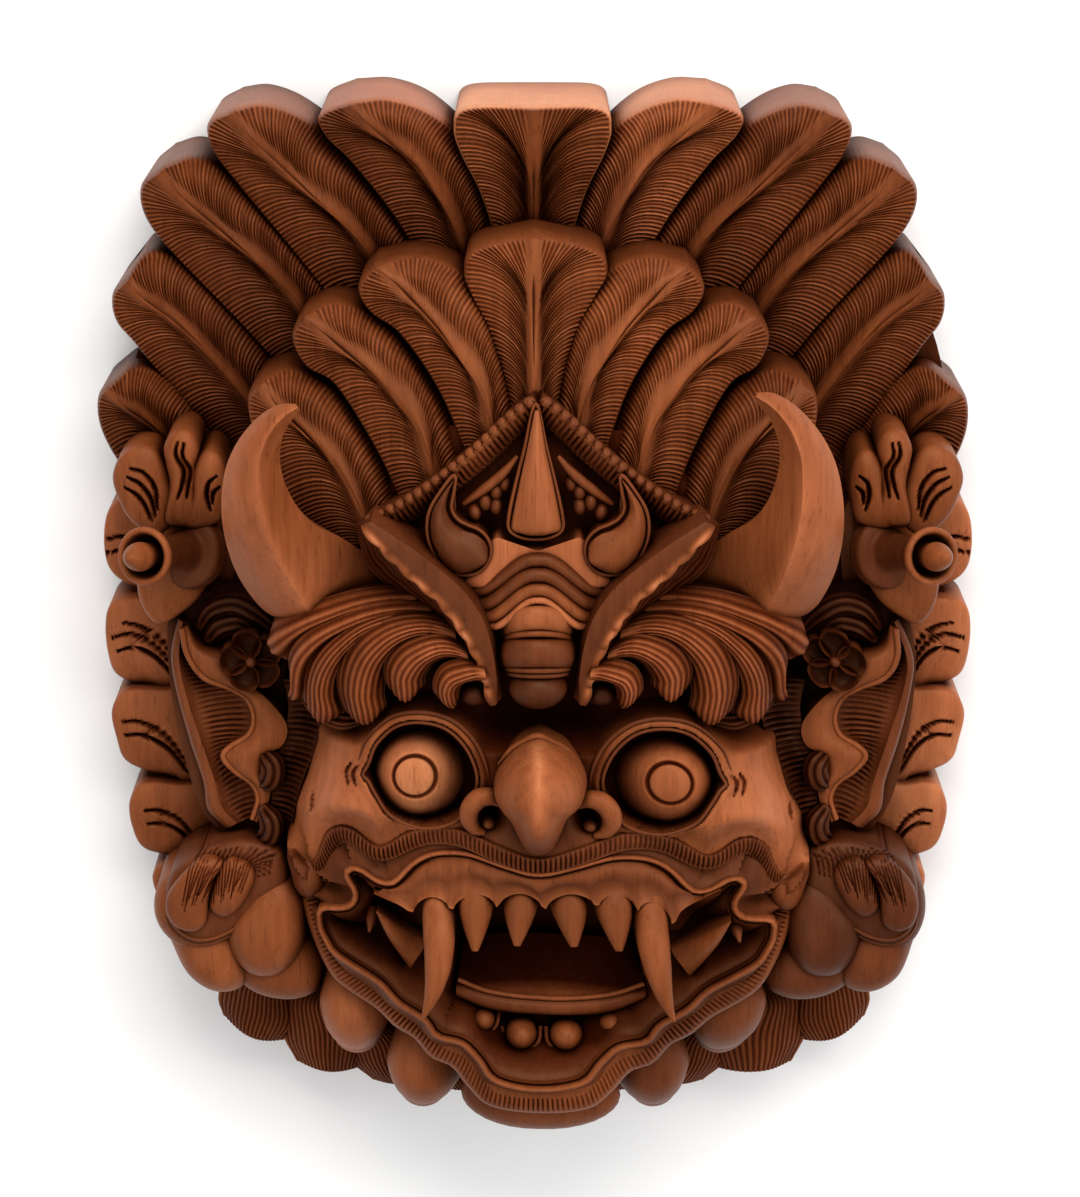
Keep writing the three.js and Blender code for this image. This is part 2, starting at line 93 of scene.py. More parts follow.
def unit(vectors):
    """The same directions, each one long."""
    return vectors / np.maximum(np.linalg.norm(vectors, axis=-1, keepdims=True), 1e-9)


def smooth(low, high, x):
    """Nought at low, one at high, with a soft step between."""
    t = np.clip((np.asarray(x, dtype=float) - low) / (high - low), 0, 1)
    return t * t * (3 - 2 * t)


def spread(values, t):
    """Values given evenly along a line, read at t from 0 to 1."""
    return np.interp(t, np.linspace(0, 1, len(values)), values)


# ------------------------------------------------------------------ shells

SHARP_ANGLE = math.radians(50)


class Carving:
    """Closed shells in millimetres, gathered into one mesh.

    Each point has a tone, from dark stain to bare worn wood, with painted light and shade on
    some parts, and a depth, how far down a tool cut it lies, which darkens it as painted shade.
    """

    def __init__(self, name, lean=None):
        self.name = name
        self.lean = lean
        self.points = []
        self.faces = []
        self.tones = []
        self.depths = []
        self.count = 0

    def add(self, shell, tone=0.5):
        """One more shell, with one tone for all of it or one for each point."""
        points, faces, depth = shell
        self.points.append(points)
        self.tones.append(np.full(len(points), tone) if np.isscalar(tone) else tone)
        self.depths.append(depth)
        self.faces += [np.asarray(group) + self.count for group in faces]
        self.count += len(points)

    def add_both(self, shell, tone=0.5, right_painted_light=0.0):
        """The shell and its mirror image; the mirror's tone is raised or lowered as painted light and
        shade on the right side.
        """
        self.add(shell, tone)
        self.add(mirrored(shell), tone + right_painted_light)

    def build(self):
        """One Blender object in metres from everything added."""
        points = np.vstack(self.points)
        if self.lean:
            self.lean(points)
        points = points * MM
        sizes = np.concatenate([np.full(len(group), group.shape[1]) for group in self.faces])
        loops = np.concatenate([group.ravel() for group in self.faces])
        mesh = bpy.data.meshes.new(self.name)
        mesh.vertices.add(len(points))
        mesh.vertices.foreach_set("co", points.ravel())
        mesh.loops.add(len(loops))
        mesh.loops.foreach_set("vertex_index", loops)
        mesh.polygons.add(len(sizes))
        mesh.polygons.foreach_set("loop_start", np.concatenate([[0], np.cumsum(sizes)[:-1]]))
        mesh.polygons.foreach_set("loop_total", sizes)
        mesh.update(calc_edges=True)
        for name, values in (("tone", self.tones), ("depth", self.depths)):
            layer = mesh.attributes.new(name, "FLOAT", "POINT")
            layer.data.foreach_set("value", np.concatenate(values).astype(np.float32))
        mesh.polygons.foreach_set("use_smooth", np.ones(len(sizes), dtype=bool))
        mesh.set_sharp_from_angle(angle=SHARP_ANGLE)
        mesh.validate()
        piece = bpy.data.objects.new(self.name, mesh)
        bpy.context.collection.objects.link(piece)
        return piece


def mirrored(shell):
    """The shell on the other side of the face."""
    points, faces, depth = shell
    return points * (-1, 1, 1), [np.asarray(group)[:, ::-1] for group in faces], depth


def quads(rows, columns, wrap=False):
    """Faces of a grid of points; with wrap the last column joins the first."""
    span = columns if wrap else columns - 1
    row, column = np.meshgrid(np.arange(rows - 1), np.arange(span), indexing="ij")
    after = (column + 1) % columns
    corners = [
        row * columns + column, row * columns + after, (row + 1) * columns + after,
        (row + 1) * columns + column
    ]
    return np.stack([c.ravel() for c in corners], axis=1)


def tube(grid, depth=None):
    """A closed shell from rings of points, each ring a row, with flat ends."""
    rows, columns = grid.shape[:2]
    faces = [quads(rows, columns, wrap=True)]
    first = np.arange(columns)[None, ::-1]
    last = (rows - 1) * columns + np.arange(columns)[None]
    depth = np.zeros((rows, columns)) if depth is None else depth
    shell = (grid.reshape(-1, 3), faces + [first, last], depth.ravel())
    return outward(shell)


def outward(shell):
    """The shell with its faces pointing out, told by the sign of its volume."""
    points, faces, depth = shell
    volume = 0.0
    for group in faces:
        a = points[group[:, 0]]
        for k in range(1, group.shape[1] - 1):
            volume += np.einsum("ij,ij->", a, np.cross(points[group[:, k]], points[group[:, k + 1]]))
    if volume < 0:
        faces = [group[:, ::-1] for group in faces]
    return points, faces, depth


def sweep(line, radii, sides=18, steps=48, wide=1.0, flat=1.0, up=(0, 0, 1), ribs=0, rib_depth=0.0):
    """A round or oval body along a curve. With ribs, fine striations run its length."""
    centre = spline(line, steps)
    t = np.linspace(0, 1, steps)
    radius = spread(radii, t)[:, None, None]
    tangent = unit(np.gradient(centre, axis=0))
    side = unit(np.cross(tangent, np.array(up, dtype=float)))
    rise = np.cross(side, tangent)
    turn = np.linspace(0, 2 * math.pi, sides, endpoint=False)[None, :, None]
    cut = np.zeros((steps, sides))
    if ribs:
        fade = (smooth(0, 0.08, t) * smooth(0, 0.1, 1.02 - t))[:, None]
        wave = np.abs(np.cos(turn[..., 0] * ribs / 2)) ** 3
        # The rib grooves are also kept as painted shade.
        cut = wave * fade * np.ones((steps, 1))
    reach = radius - cut[..., None] * rib_depth
    grid = (centre[:, None] + side[:, None] * reach * wide * np.cos(turn)
            + rise[:, None] * reach * flat * np.sin(turn))
    return tube(grid, cut)


def blob(centre, radii, sides=32, rings=20):
    """An egg shape."""
    polar = np.linspace(0.06, math.pi - 0.06, rings)[:, None]
    around = np.linspace(0, 2 * math.pi, sides, endpoint=False)[None]
    x = radii[0] * np.sin(polar) * np.cos(around)
    y = radii[1] * np.sin(polar) * np.sin(around)
    z = radii[2] * np.cos(polar) * np.ones_like(around)
    return tube(np.stack([centre[0] + x, centre[1] + y, centre[2] + z], axis=2))


def at_height(points, z):
    """Flat points lifted to a height, or to heights given evenly along them."""
    points = np.array(points, dtype=float)
    if points.shape[1] == 3:
        return points
    heights = z if np.isscalar(z) else spread(z, np.linspace(0, 1, len(points)))
    return np.column_stack([points, np.full(len(points), 1.0) * heights])


def flip(points):
    """The same line on the other side of the face."""
    points = np.array(points, dtype=float)
    points[:, 0] *= -1
    return points


def loft(lines, rows=60, across=5, bulges=0.0, hatch=None, ribs=None, cut=0.9):
    """A closed body through lines that lie round it in order.

    bulges holds how far the wood swells between each line and the next. hatch holds
    {gap: pitch} for tool cuts from line to line, and ribs {gap: count} for cuts that
    run the whole length.
    """
    hatch = hatch or {}
    ribs = ribs or {}
    fine = [spline(line, 80) for line in lines]
    if hatch:
        gap, pitch = next(iter(hatch.items()))
        rows = int(length_of(fine[gap]) / pitch) * CUT_SAMPLES + 1
    fine = [resample(line, rows) for line in fine]
    v = np.linspace(0, 1, rows)
    centre = sum(fine) / len(fine)
    bulges = [bulges] * len(lines) if np.isscalar(bulges) else bulges
    columns, depths = [], []
    for gap, line in enumerate(fine):
        after = fine[(gap + 1) % len(fine)]
        steps = max(across, 5 * ribs.get(gap, 0)) if (bulges[gap] or gap in ribs or gap in hatch) else 1
        normal = unit(np.cross(after - line, np.gradient(line + after, axis=0)))
        away = np.sign(np.einsum("ij,ij->i", normal, (line + after) / 2 - centre))
        normal = normal * np.where(away == 0, 1, away)[:, None]
        width = np.linalg.norm(after - line, axis=1)
        swell = bulges[gap] * np.minimum(1, width / (np.median(width) + 1e-6))
        for t in np.arange(steps) / steps:
            depth = np.zeros(rows)
            if gap in hatch:
                turns = np.round(length_of(fine[gap]) / hatch[gap])
                wave = (1 - np.abs(2 * ((v * turns) % 1) - 1)) ** 1.6
                depth = wave * smooth(0, 0.2, t) * smooth(0, 0.15, 1 - t)
            if gap in ribs:
                wave = (1 - np.abs(2 * ((t * ribs[gap]) % 1) - 1)) ** 1.5
                wave = 1 - wave
                depth = wave * smooth(0, 0.15, v) * np.ones(rows) if 0.02 < t < 0.98 else depth
            column = line * (1 - t) + after * t
            column = column + normal * (swell * math.sin(math.pi * t) - cut * depth)[:, None]
            columns.append(column)
            # The cut's depth is also kept as painted shade in the groove.
            depths.append(depth)
    return tube(np.stack(columns, axis=1), np.stack(depths, axis=1))


def strip(lines, floor, inset=1.0, bulges=2.0, **plan):
    """A carved band through lines from one edge to the other, with walls down to a floor."""
    fine = [spline(line, 80) for line in lines]
    first, last = fine[0], fine[-1]
    inward = unit((last - first) * (1, 1, 0))
    low = first + inward * inset
    high = last - inward * inset
    low[:, 2] = np.minimum(floor, first[:, 2] - 0.5)
    high[:, 2] = np.minimum(floor, last[:, 2] - 0.5)
    gaps = len(lines) - 1
    bulges = [bulges] * gaps if np.isscalar(bulges) else list(bulges)
    return loft(fine + [high, low], bulges=bulges + [0, 0, 0], **plan)


def pillow(outline, floor, top, swell, rings=18, around=96, edge=0.35, centre=None, slope=(0, 0)):
    """A cushion-shaped boss on an outline, upright at its edge and swelling to its middle."""
    rim = spline(at_height(outline, 0), around, closed=True)
    middle = rim.mean(axis=0) if centre is None else np.array([centre[0], centre[1], 0.0])
    levels = np.linspace(0, 1, rings)[::-1]
    grid = []
    for level in levels:
        reach = level ** 0.8
        ring = middle + (rim - middle) * reach
        ring[:, 2] = top + swell * (1 - max(reach, 0) ** 2.4) ** edge
        ring[:, 2] += (ring[:, 0] - middle[0]) * slope[0] + (ring[:, 1] - middle[1]) * slope[1]
        grid.append(ring)
    grid[-1] = grid[-1] * 0.98 + grid[-2] * 0.02
    foot = middle + (rim - middle) * 0.97
    foot[:, 2] = floor
    return tube(np.stack([foot] + grid))


def distance_to(points, line, closed=False):
    """How far each flat point is from a flat line, and the nearest point's place along it."""
    line = np.asarray(line, dtype=float)[:, :2]
    if closed:
        line = np.vstack([line, line[:1]])
    best = np.full(len(points), 1e9)
    place = np.zeros(len(points))
    for k in range(len(line) - 1):
        a, b = line[k], line[k + 1]
        span = b - a
        t = np.clip(((points - a) @ span) / max(span @ span, 1e-9), 0, 1)
        away = np.linalg.norm(points - a - t[:, None] * span, axis=1)
        nearer = away < best
        best[nearer] = away[nearer]
        place[nearer] = k + t[nearer]
    return best, place / (len(line) - 1)


def inside(points, line):
    """Which flat points lie within a closed flat line."""
    line = np.asarray(line, dtype=float)[:, :2]
    result = np.zeros(len(points), dtype=bool)
    for a, b in zip(line, np.roll(line, -1, axis=0)):
        crosses = (a[1] > points[:, 1]) != (b[1] > points[:, 1])
        height = b[1] - a[1] if abs(b[1] - a[1]) > 1e-9 else 1e-9
        result ^= crosses & (points[:, 0] < (b[0] - a[0]) * (points[:, 1] - a[1]) / height + a[0])
    return result


def engrave(shell, lines, width=1.5, depth=2.2):
    """V-shaped cuts into the upper faces of a finely divided shell, along flat lines."""
    points, faces, cuts = shell
    points, cuts = points.copy(), cuts.copy()
    for line in lines:
        fine = spline(at_height(line, 0), 30)
        away, place = distance_to(points[:, :2], fine)
        blade = width * (0.45 + 0.55 * np.sin(math.pi * np.clip(place, 0.02, 0.98)))
        bite = np.clip(1 - away / blade, 0, 1)
        points[:, 2] -= depth * bite
        # Each cut is also kept as painted shade.
        cuts = np.maximum(cuts, smooth(0.1, 0.6, bite))
    return points, faces, cuts


def tooth(line, radii, steps):
    """A round sweep that ends in a small point."""
    return sweep(line, radii, sides=20, steps=steps)


def rim(line, radius, steps=120, closed=True):
    """A thin raised rounded line."""
    path = spline(line, steps, closed=closed)
    if closed:
        path = np.vstack([path, path[:1] + (path[1:2] - path[:1]) * 0.01])
    turn = np.linspace(0, 2 * math.pi, 8, endpoint=False)[None, :, None]
    tangent = unit(np.gradient(path, axis=0))
    if closed:
        tangent[0] = tangent[-1] = unit(path[1] - path[-2])
    side = unit(np.cross(tangent, (0.0, 0.0, 1.0)))
    rise = np.cross(side, tangent)
    grid = path[:, None] + radius * (side[:, None] * np.cos(turn) + rise[:, None] * np.sin(turn))
    return tube(grid)


def offset(line, amount, window=9):
    """A line moved sideways in the XY plane, to its left when positive."""
    tangent = np.gradient(line, axis=0) * (1, 1, 0)
    kernel = np.ones(window) / window
    padded = np.pad(tangent, ((window // 2, window // 2), (0, 0)), mode="edge")
    tangent = np.stack([np.convolve(padded[:, k], kernel, "valid") for k in range(3)], axis=1)
    normal = unit(np.stack([-tangent[:, 1], tangent[:, 0], np.zeros(len(line))], axis=1))
    return line + normal * amount


# ------------------------------------------------------------------ feathers

BARB_LEAN = 14          # how far before the root the quill is drawn from
BARB_DEPTH = 0.9
# How dark the painted shade between the barbs is.
GROOVE_SHADE = 0.5
QUILL_WIDTH = 2.1
QUILL_HEIGHT = 2.4
ACROSS = np.array([0.0, 0.13, 0.21, 0.28, 0.35, 0.42, 0.5, 0.59, 0.68, 0.78, 0.88, 0.95, 1.0])


def feather(spine, outer, inner, tip, floor, tone, wall_tone, lift=(1.6, 3.0), rolls=(1.0, 6.0)):
    """One carved feather and the tone of each of its points.

    The spine runs from root to the middle of the round tip, and the two edges from
    root to the tip itself. Barbs leave the spine along it and bend out to the edge.
    """
    outer, inner = np.vstack([outer, tip]), np.vstack([inner, tip])
    longest = max(length_of(spline(outer, 60)), length_of(spline(inner, 60)))
    barbs = int(longest / HATCH_PITCH)
    rows = barbs * CUT_SAMPLES + 1
    v = np.linspace(0, 1, rows)
    spine = np.array(spine, dtype=float)
    root = spine[0] - unit(spine[1] - spine[0]) * BARB_LEAN
    fine = spline(np.vstack([root, spine]), 400)
    even = np.linspace(0, 1, len(fine))
    quill = np.stack([np.interp(v ** 1.5, even, fine[:, k]) for k in range(3)], axis=1)
    along = unit(np.gradient(quill, axis=0))
    phase = v * barbs + 0.25 * np.sin(v * 17 + rng.uniform(0, 6)) * smooth(0, 0.1, 1 - v)
    barb = (0.5 + 0.5 * np.cos(2 * math.pi * phase)) ** 1.2
    barb *= 0.85 + 0.15 * np.sin(np.floor(phase + 0.5) * 2.7)
    quill_fade = (0.25 + 0.75 * smooth(0.02, 0.3, 1 - v))[:, None]
    halves, cuts, colours = [], [], []
    for edge_points, height, roll in ((outer, lift[0], rolls[0]), (inner, lift[1], rolls[1])):
        edge = spline(edge_points, rows)
        reach = np.linalg.norm(edge - quill, axis=1)[:, None]
        lead = (0.62 * smooth(0, 0.3, 1 - v) + 0.25)[:, None]
        knee = quill + along * reach * lead
        w = ACROSS[None, :, None]
        place = quill[:, None] * (1 - w) ** 2 + 2 * w * (1 - w) * knee[:, None] + edge[:, None] * w ** 2
        tip_fade = smooth(0, 0.12, 1 - v)[:, None]
        aside = np.linalg.norm(np.cross(place - quill[:, None], along[:, None]), axis=2)
        quill_shape = np.exp(-(aside / QUILL_WIDTH) ** 3) * quill_fade
        gutter = 0.8 * np.exp(-((aside - 2.0 * QUILL_WIDTH) / 1.6) ** 2)
        crown = QUILL_HEIGHT * quill_shape - gutter * quill_fade
        vane = height * np.sin(math.pi * np.clip((ACROSS - 0.12) / 0.88, 0, 1) ** 1.15)
        fall = roll * smooth(0.72, 1.0, ACROSS) ** 2
        profile = crown + vane * (0.35 + 0.65 * tip_fade) - fall * tip_fade
        begin = smooth(1.2 * QUILL_WIDTH, 2.5 * QUILL_WIDTH, aside)
        depth = (1 - barb[:, None]) * begin
        place[..., 2] += profile - BARB_DEPTH * depth * (1 + 0.25 * smooth(0.9, 1.0, ACROSS))
        halves.append(place)
        cuts.append(depth)
        # Painted highlight on the quill and on the crest of each barb, painted shade between them.
        colours.append(tone - 0.07 * begin + 0.13 * quill_shape + 0.26 * barb[:, None] * begin)
    walls = []
    for half, side in zip(halves, (-1, 1)):
        edge = half[:, -1].copy()
        heading = unit(np.gradient(edge * (1, 1, 0), axis=0))
        out = np.stack([heading[:, 1], -heading[:, 0], np.zeros(rows)], axis=1) * side
        smooth_edge = edge + out * 0.9
        smooth_edge[:, 2] += BARB_DEPTH * cuts[0][:, -1] - 2.4
        deep = edge + out * 1.6
        deep[:, 2] = np.maximum(edge[:, 2] - 9, floor(v))
        foot = edge + out * 0.6
        foot[:, 2] = floor(v)
        walls.append(np.stack([smooth_edge, deep, foot], axis=1))
    left, right = halves
    grid = np.concatenate([walls[0][:, ::-1], left[:, ::-1], right[:, 1:], walls[1]], axis=1)
    zero = np.zeros((rows, 3))
    # The upright walls take one tone, painted light: brighter where a wall faces up to the light.
    lit_wall = np.full((rows, 3), wall_tone)
    tones = np.hstack([lit_wall, colours[0][:, ::-1], colours[1][:, 1:], lit_wall])
    cuts = [GROOVE_SHADE * side for side in cuts]
    depth = np.hstack([zero, cuts[0][:, :0:-1], np.zeros((rows, 1)), cuts[1][:, 1:], zero])
    return closed_at_tip(grid, depth, tones)


def closed_at_tip(grid, depth, tones):
    """A shell from rings of points whose last ring is folded flat on itself and welded."""
    rows, count = grid.shape[:2]
    half = count // 2
    last = grid[-1]
    last[half + 1:] = last[:half][::-1]
    faces = quads(rows, count, wrap=True)
    start = (rows - 1) * count
    pairing = np.arange(rows * count)
    pairing[start + half + 1:start + count] = np.arange(start, start + half)[::-1]
    faces = pairing[faces]
    keep = np.array([len(set(face)) == 4 for face in faces[-count:]])
    body, end = faces[:-count], faces[-count:][keep]
    ends = [np.arange(count)[None, ::-1], body, end]
    triangles = [dict.fromkeys(face) for face in faces[-count:][~keep]]
    triangles = [list(face) for face in triangles if len(face) == 3]
    if triangles:
        ends.append(np.array(triangles))
    used = np.unique(np.concatenate([group.ravel() for group in ends]))
    renumber = np.full(rows * count, -1)
    renumber[used] = np.arange(len(used))
    shell = (grid.reshape(-1, 3)[used], [renumber[group] for group in ends], depth.ravel()[used])
    return outward(shell), tones.ravel()[used]


# Spine, outer edge, inner edge and tip of each feather of the left side, root first.
OUTER_TIER = [
    {"spine": [(-27, 150, 46), (-38, 188, 57), (-54, 218, 72), (-75, 240, 85)],
     "outer": [(-45, 148, 46), (-63, 190, 60), (-84, 222, 76), (-97, 237, 84), (-99, 246, 88)],
     "inner": [(-8, 160, 46), (-19, 198, 57), (-31, 226, 70), (-49, 244, 81), (-68, 252, 88)],
     "tip": (-86, 252, 90)},
    {"spine": [(-57, 140, 44), (-80, 179, 56), (-104, 206, 68), (-128, 231, 80)],
     "outer": [(-76, 124, 43), (-106, 168, 57), (-138, 212, 72), (-149, 229, 79), (-151, 241, 83)],
     "inner": [(-38, 150, 46), (-66, 197, 58), (-88, 224, 68), (-110, 242, 77), (-127, 249, 83)],
     "tip": (-140, 248, 86)},
    {"spine": [(-88, 116, 42), (-116, 157, 54), (-140, 183, 65), (-163, 205, 75)],
     "outer": [(-104, 98, 40), (-135, 138, 53), (-167, 176, 67), (-181, 196, 74), (-183, 211, 78)],
     "inner": [(-72, 128, 44), (-103, 168, 55), (-127, 198, 65), (-146, 217, 74), (-160, 224, 79)],
     "tip": (-173, 221, 81)},
    {"spine": [(-118, 80, 40), (-146, 118, 51), (-167, 143, 61), (-184, 158, 69)],
     "outer": [(-140, 62, 38), (-168, 104, 50), (-188, 134, 61), (-197, 147, 67), (-198, 159, 71)],
     "inner": [(-104, 94, 42), (-134, 138, 53), (-158, 166, 63), (-172, 177, 69), (-183, 178, 73)],
     "tip": (-191, 168, 74)},
    {"spine": [(-150, 52, 38), (-170, 79, 48), (-184, 96, 57), (-195, 105, 63)],
     "outer": [(-176, 30, 36), (-194, 66, 46), (-203, 84, 54), (-207, 98, 60), (-206, 110, 65)],
     "inner": [(-136, 66, 40), (-160, 100, 50), (-172, 113, 57), (-183, 121, 62), (-192, 122, 66)],
     "tip": (-199, 117, 67)},
]

INNER_TIER = [
    {"spine": [(-16, 92, 124), (-25, 122, 122), (-42, 149, 118), (-63, 172, 113)],
     "outer": [(-30, 90, 124), (-44, 124, 122), (-62, 150, 117), (-76, 160, 113), (-81, 170, 112)],
     "inner": [(-2, 96, 124), (-10, 126, 122), (-21, 158, 119), (-34, 175, 115), (-54, 183, 112)],
     "tip": (-74, 180, 111)},
    {"spine": [(-44, 74, 121), (-54, 102, 119), (-71, 126, 114), (-95, 147, 109)],
     "outer": [(-60, 66, 120), (-73, 95, 118), (-92, 125, 112), (-106, 134, 109), (-112, 146, 107)],
     "inner": [(-30, 80, 122), (-41, 112, 120), (-62, 143, 115), (-77, 156, 111), (-94, 161, 108)],
     "tip": (-107, 156, 107)},
    {"spine": [(-74, 50, 117), (-88, 79, 114), (-103, 98, 110), (-119, 113, 105)],
     "outer": [(-102, 38, 113), (-116, 70, 110), (-127, 93, 106), (-132, 105, 104), (-133, 117, 103)],
     "inner": [(-60, 56, 118), (-72, 88, 115), (-90, 115, 110), (-102, 125, 107), (-115, 129, 104)],
     "tip": (-127, 125, 103)},
]

MIDDLE_OUTER = {
    "spine": [(0, 140, 50), (0, 180, 60), (0, 215, 76)],
    "outer": [(-14, 140, 50), (-17, 178, 60), (-24, 206, 72), (-34, 228, 83), (-37, 240, 88),
              (-32, 249, 90)],
    "inner": [(14, 140, 50), (17, 178, 60), (24, 206, 72), (34, 228, 83), (37, 240, 88), (32, 249, 90)],
    "tip": (0, 250, 92),
}
MIDDLE_INNER = {
    "spine": [(0, 84, 128), (0, 120, 124), (0, 150, 121), (0, 172, 119)],
    "outer": [(-8, 84, 127), (-12, 122, 123), (-20, 150, 120), (-29, 168, 118), (-32, 178, 117),
              (-27, 188, 117)],
    "inner": [(8, 84, 127), (12, 122, 123), (20, 150, 120), (30, 168, 118), (35, 178, 117),
              (29, 188, 117)],
    "tip": (0, 195, 118),
}

# Tones of the outer feathers' walls, nearest the middle first: painted light, lighter where the walls
# face up at the top of the crown.
WALL_TONES = (0.6, 0.5, 0.34, 0.3, 0.3)
EVEN = {"rolls": (1.5, 1.5), "lift": (2.5, 2.5)}


def to_back(v):
    """The outer feathers' walls go down to the back."""
    return np.full_like(v, ABOVE_BOARD)


def to_tier(v):
    """The inner feathers' walls end inside the outer tier."""
    return 96 - 52 * smooth(0.3, 0.6, v)


def crown():
    """The two tiers of feathers, each pair lower than the one nearer the middle."""
    outer = Carving("crown_outer", crown_lean)
    # The middle feather's wall faces up and is painted lightest: painted light.
    outer.add(*feather(floor=to_back, tone=0.36, wall_tone=0.85, **EVEN, **MIDDLE_OUTER))
    # The right copy of the inner pair is painted lighter: painted light.
    for plan, wall_tone, right_painted_light in zip(OUTER_TIER, WALL_TONES, (0.18, 0.03, 0.03, 0.03, 0.03)):
        shell, tones = feather(floor=to_back, tone=0.345, wall_tone=wall_tone, **plan)
        outer.add_both(shell, tones, right_painted_light)
    inner = Carving("crown_inner", crown_lean)
    inner.add(*feather(floor=to_tier, tone=0.40, wall_tone=0.4, **EVEN, **MIDDLE_INNER))
    for plan in INNER_TIER:
        inner.add_both(*feather(floor=to_tier, tone=0.38, wall_tone=0.4, **plan))
    return [outer, inner]


def crown_lean(points):
    """The right half of the crown is carved a little narrower than the left."""
    high = smooth(40, 160, points[:, 1])
    points[:, 0] -= high * (4 * smooth(-60, 60, points[:, 0]) + 0.025 * np.maximum(points[:, 0], 0))


# ------------------------------------------------------------------ headdress

def horns(carving):
    """Two curved horns, each with a long edge down its front."""
    outer = [
        (-108, 12, 110), (-124, 18, 118), (-134, 31, 126), (-141, 48, 134), (-144.5, 69, 141),
        (-143, 90, 146), (-137, 106, 150), (-127, 119, 154), (-117, 126, 158), (-109, 127, 161)
    ]
    front = [
        (-96, 10, 118), (-104, 22, 132), (-112, 38, 144), (-119, 55, 152), (-124, 73, 157),
        (-126, 88, 159), (-126, 100, 160), (-122, 112, 161), (-115, 121, 162), (-108, 125.5, 162)
    ]
    inner = [
        (-50, 24, 108), (-72, 42, 118), (-90, 57, 128), (-102, 65, 135), (-110, 75, 141),
        (-115, 87, 147), (-117, 98, 151), (-116, 108, 155), (-113, 116, 158), (-107, 124.5, 161)
    ]
    under = [
        (-80, 24, 90), (-98, 36, 94), (-112, 48, 102), (-120, 63, 111), (-126, 78, 120),
        (-129, 90, 128), (-128, 103, 138), (-121, 114, 148), (-114, 120, 156), (-108, 125, 160)
    ]
    front = np.array(front)
    front[:, 2] += 2.5 * np.sin(np.linspace(0, math.pi, len(front)))
    rows, across = 90, 10
    horn = loft([outer, front, inner, under], rows=rows, across=across, bulges=[2.4, -0.6, 2, 2])
    # Painted highlight along the front edge; the inner and under faces are painted darker as painted
    # shade.
    column = np.arange(4 * across)
    wear_and_painted_light = np.tile(0.1 * np.exp(-((column - across) / 1.2) ** 2) - 0.05 * (column > across), rows)
    carving.add(horn, 0.61 + wear_and_painted_light)
    points, faces, cuts = mirrored(horn)
    rise = np.maximum(points[:, 1] - 24, 0)[:, None]
    carving.add((points + rise * (-0.1, 0.05, 0), faces, cuts), 0.57 + wear_and_painted_light)


BROW_LOCKS = [
    {"outer": [(-56, 36, 130), (-80, 35, 134), (-99, 30, 133), (-112, 24, 128), (-122, 19, 121)],
     "inner": [(-54, 26, 130), (-78, 24, 133), (-96, 17, 131), (-107, 8, 126), (-113, -4, 119)],
     "ribs": 4},
    {"outer": [(-50, 31, 134), (-75, 31, 138), (-96, 24, 136), (-109, 15, 131), (-116, 3, 124),
         (-114, -10, 118)],
     "inner": [(-50, 21, 134), (-72, 21, 136), (-90, 13, 134), (-100, 2, 130), (-104, -9, 124),
         (-105, -21, 119)],  "ribs": 4},
    {"outer": [(-46, 27, 136), (-68, 28, 140), (-84, 23, 139), (-97, 14, 136), (-105, 4, 132),
         (-109, -8, 127), (-110, -20, 123)],
     "inner": [(-46, 15, 136), (-62, 18, 139), (-76, 13, 138), (-85, 4, 135), (-90, -7, 131),
         (-91, -18, 127), (-88, -26, 125)],  "ribs": 8},
    {"outer": [(-40, 23, 142), (-56, 26, 145), (-72, 23, 145), (-84, 15, 143), (-91, 3, 139),
         (-93, -11, 135), (-90, -24, 131)],
     "inner": [(-38, 8, 142), (-50, 13, 144), (-60, 10, 143), (-67, 2, 140), (-70, -7, 137),
         (-71, -15, 135), (-70, -22, 133)],  "ribs": 8},
    {"outer": [(-34, 13, 147), (-46, 18, 149), (-59, 15, 149), (-67, 9, 147), (-71, 0, 144),
         (-70, -9, 141)],
     "inner": [(-32, 2, 147), (-41, 5, 148), (-47, 3, 147), (-50, -1, 145), (-52, -5, 143),
         (-52, -9, 141)],  "ribs": 7},
    {"outer": [(-26, 5, 150), (-36, 6, 152), (-44, 3, 151), (-48, -4, 149), (-48, -11, 147),
         (-44, -16, 144)],
     "inner": [(-24, -6, 150), (-29, -5, 150), (-33, -6, 149), (-35, -8, 148), (-36, -11, 146),
         (-36, -14, 144)],  "ribs": 6},
]


def lock(outer, inner, ribs, floor=104, swell=9.0, cut=1.0):
    """A heavy lock of hair and its tones: painted highlight along its back, painted shade in its
    valleys and on its walls.
    """
    rows = 44
    shell = strip([outer, inner], floor, bulges=[swell], rows=rows, ribs={0: ribs}, cut=cut, inset=2.0)
    walls = 3
    steps = len(shell[0]) // rows - walls
    back = np.sin(math.pi * np.arange(steps) / steps) ** 0.7
    across = np.concatenate([0.21 + 0.42 * back, np.full(walls, 0.12)])
    return shell, np.tile(across, rows)


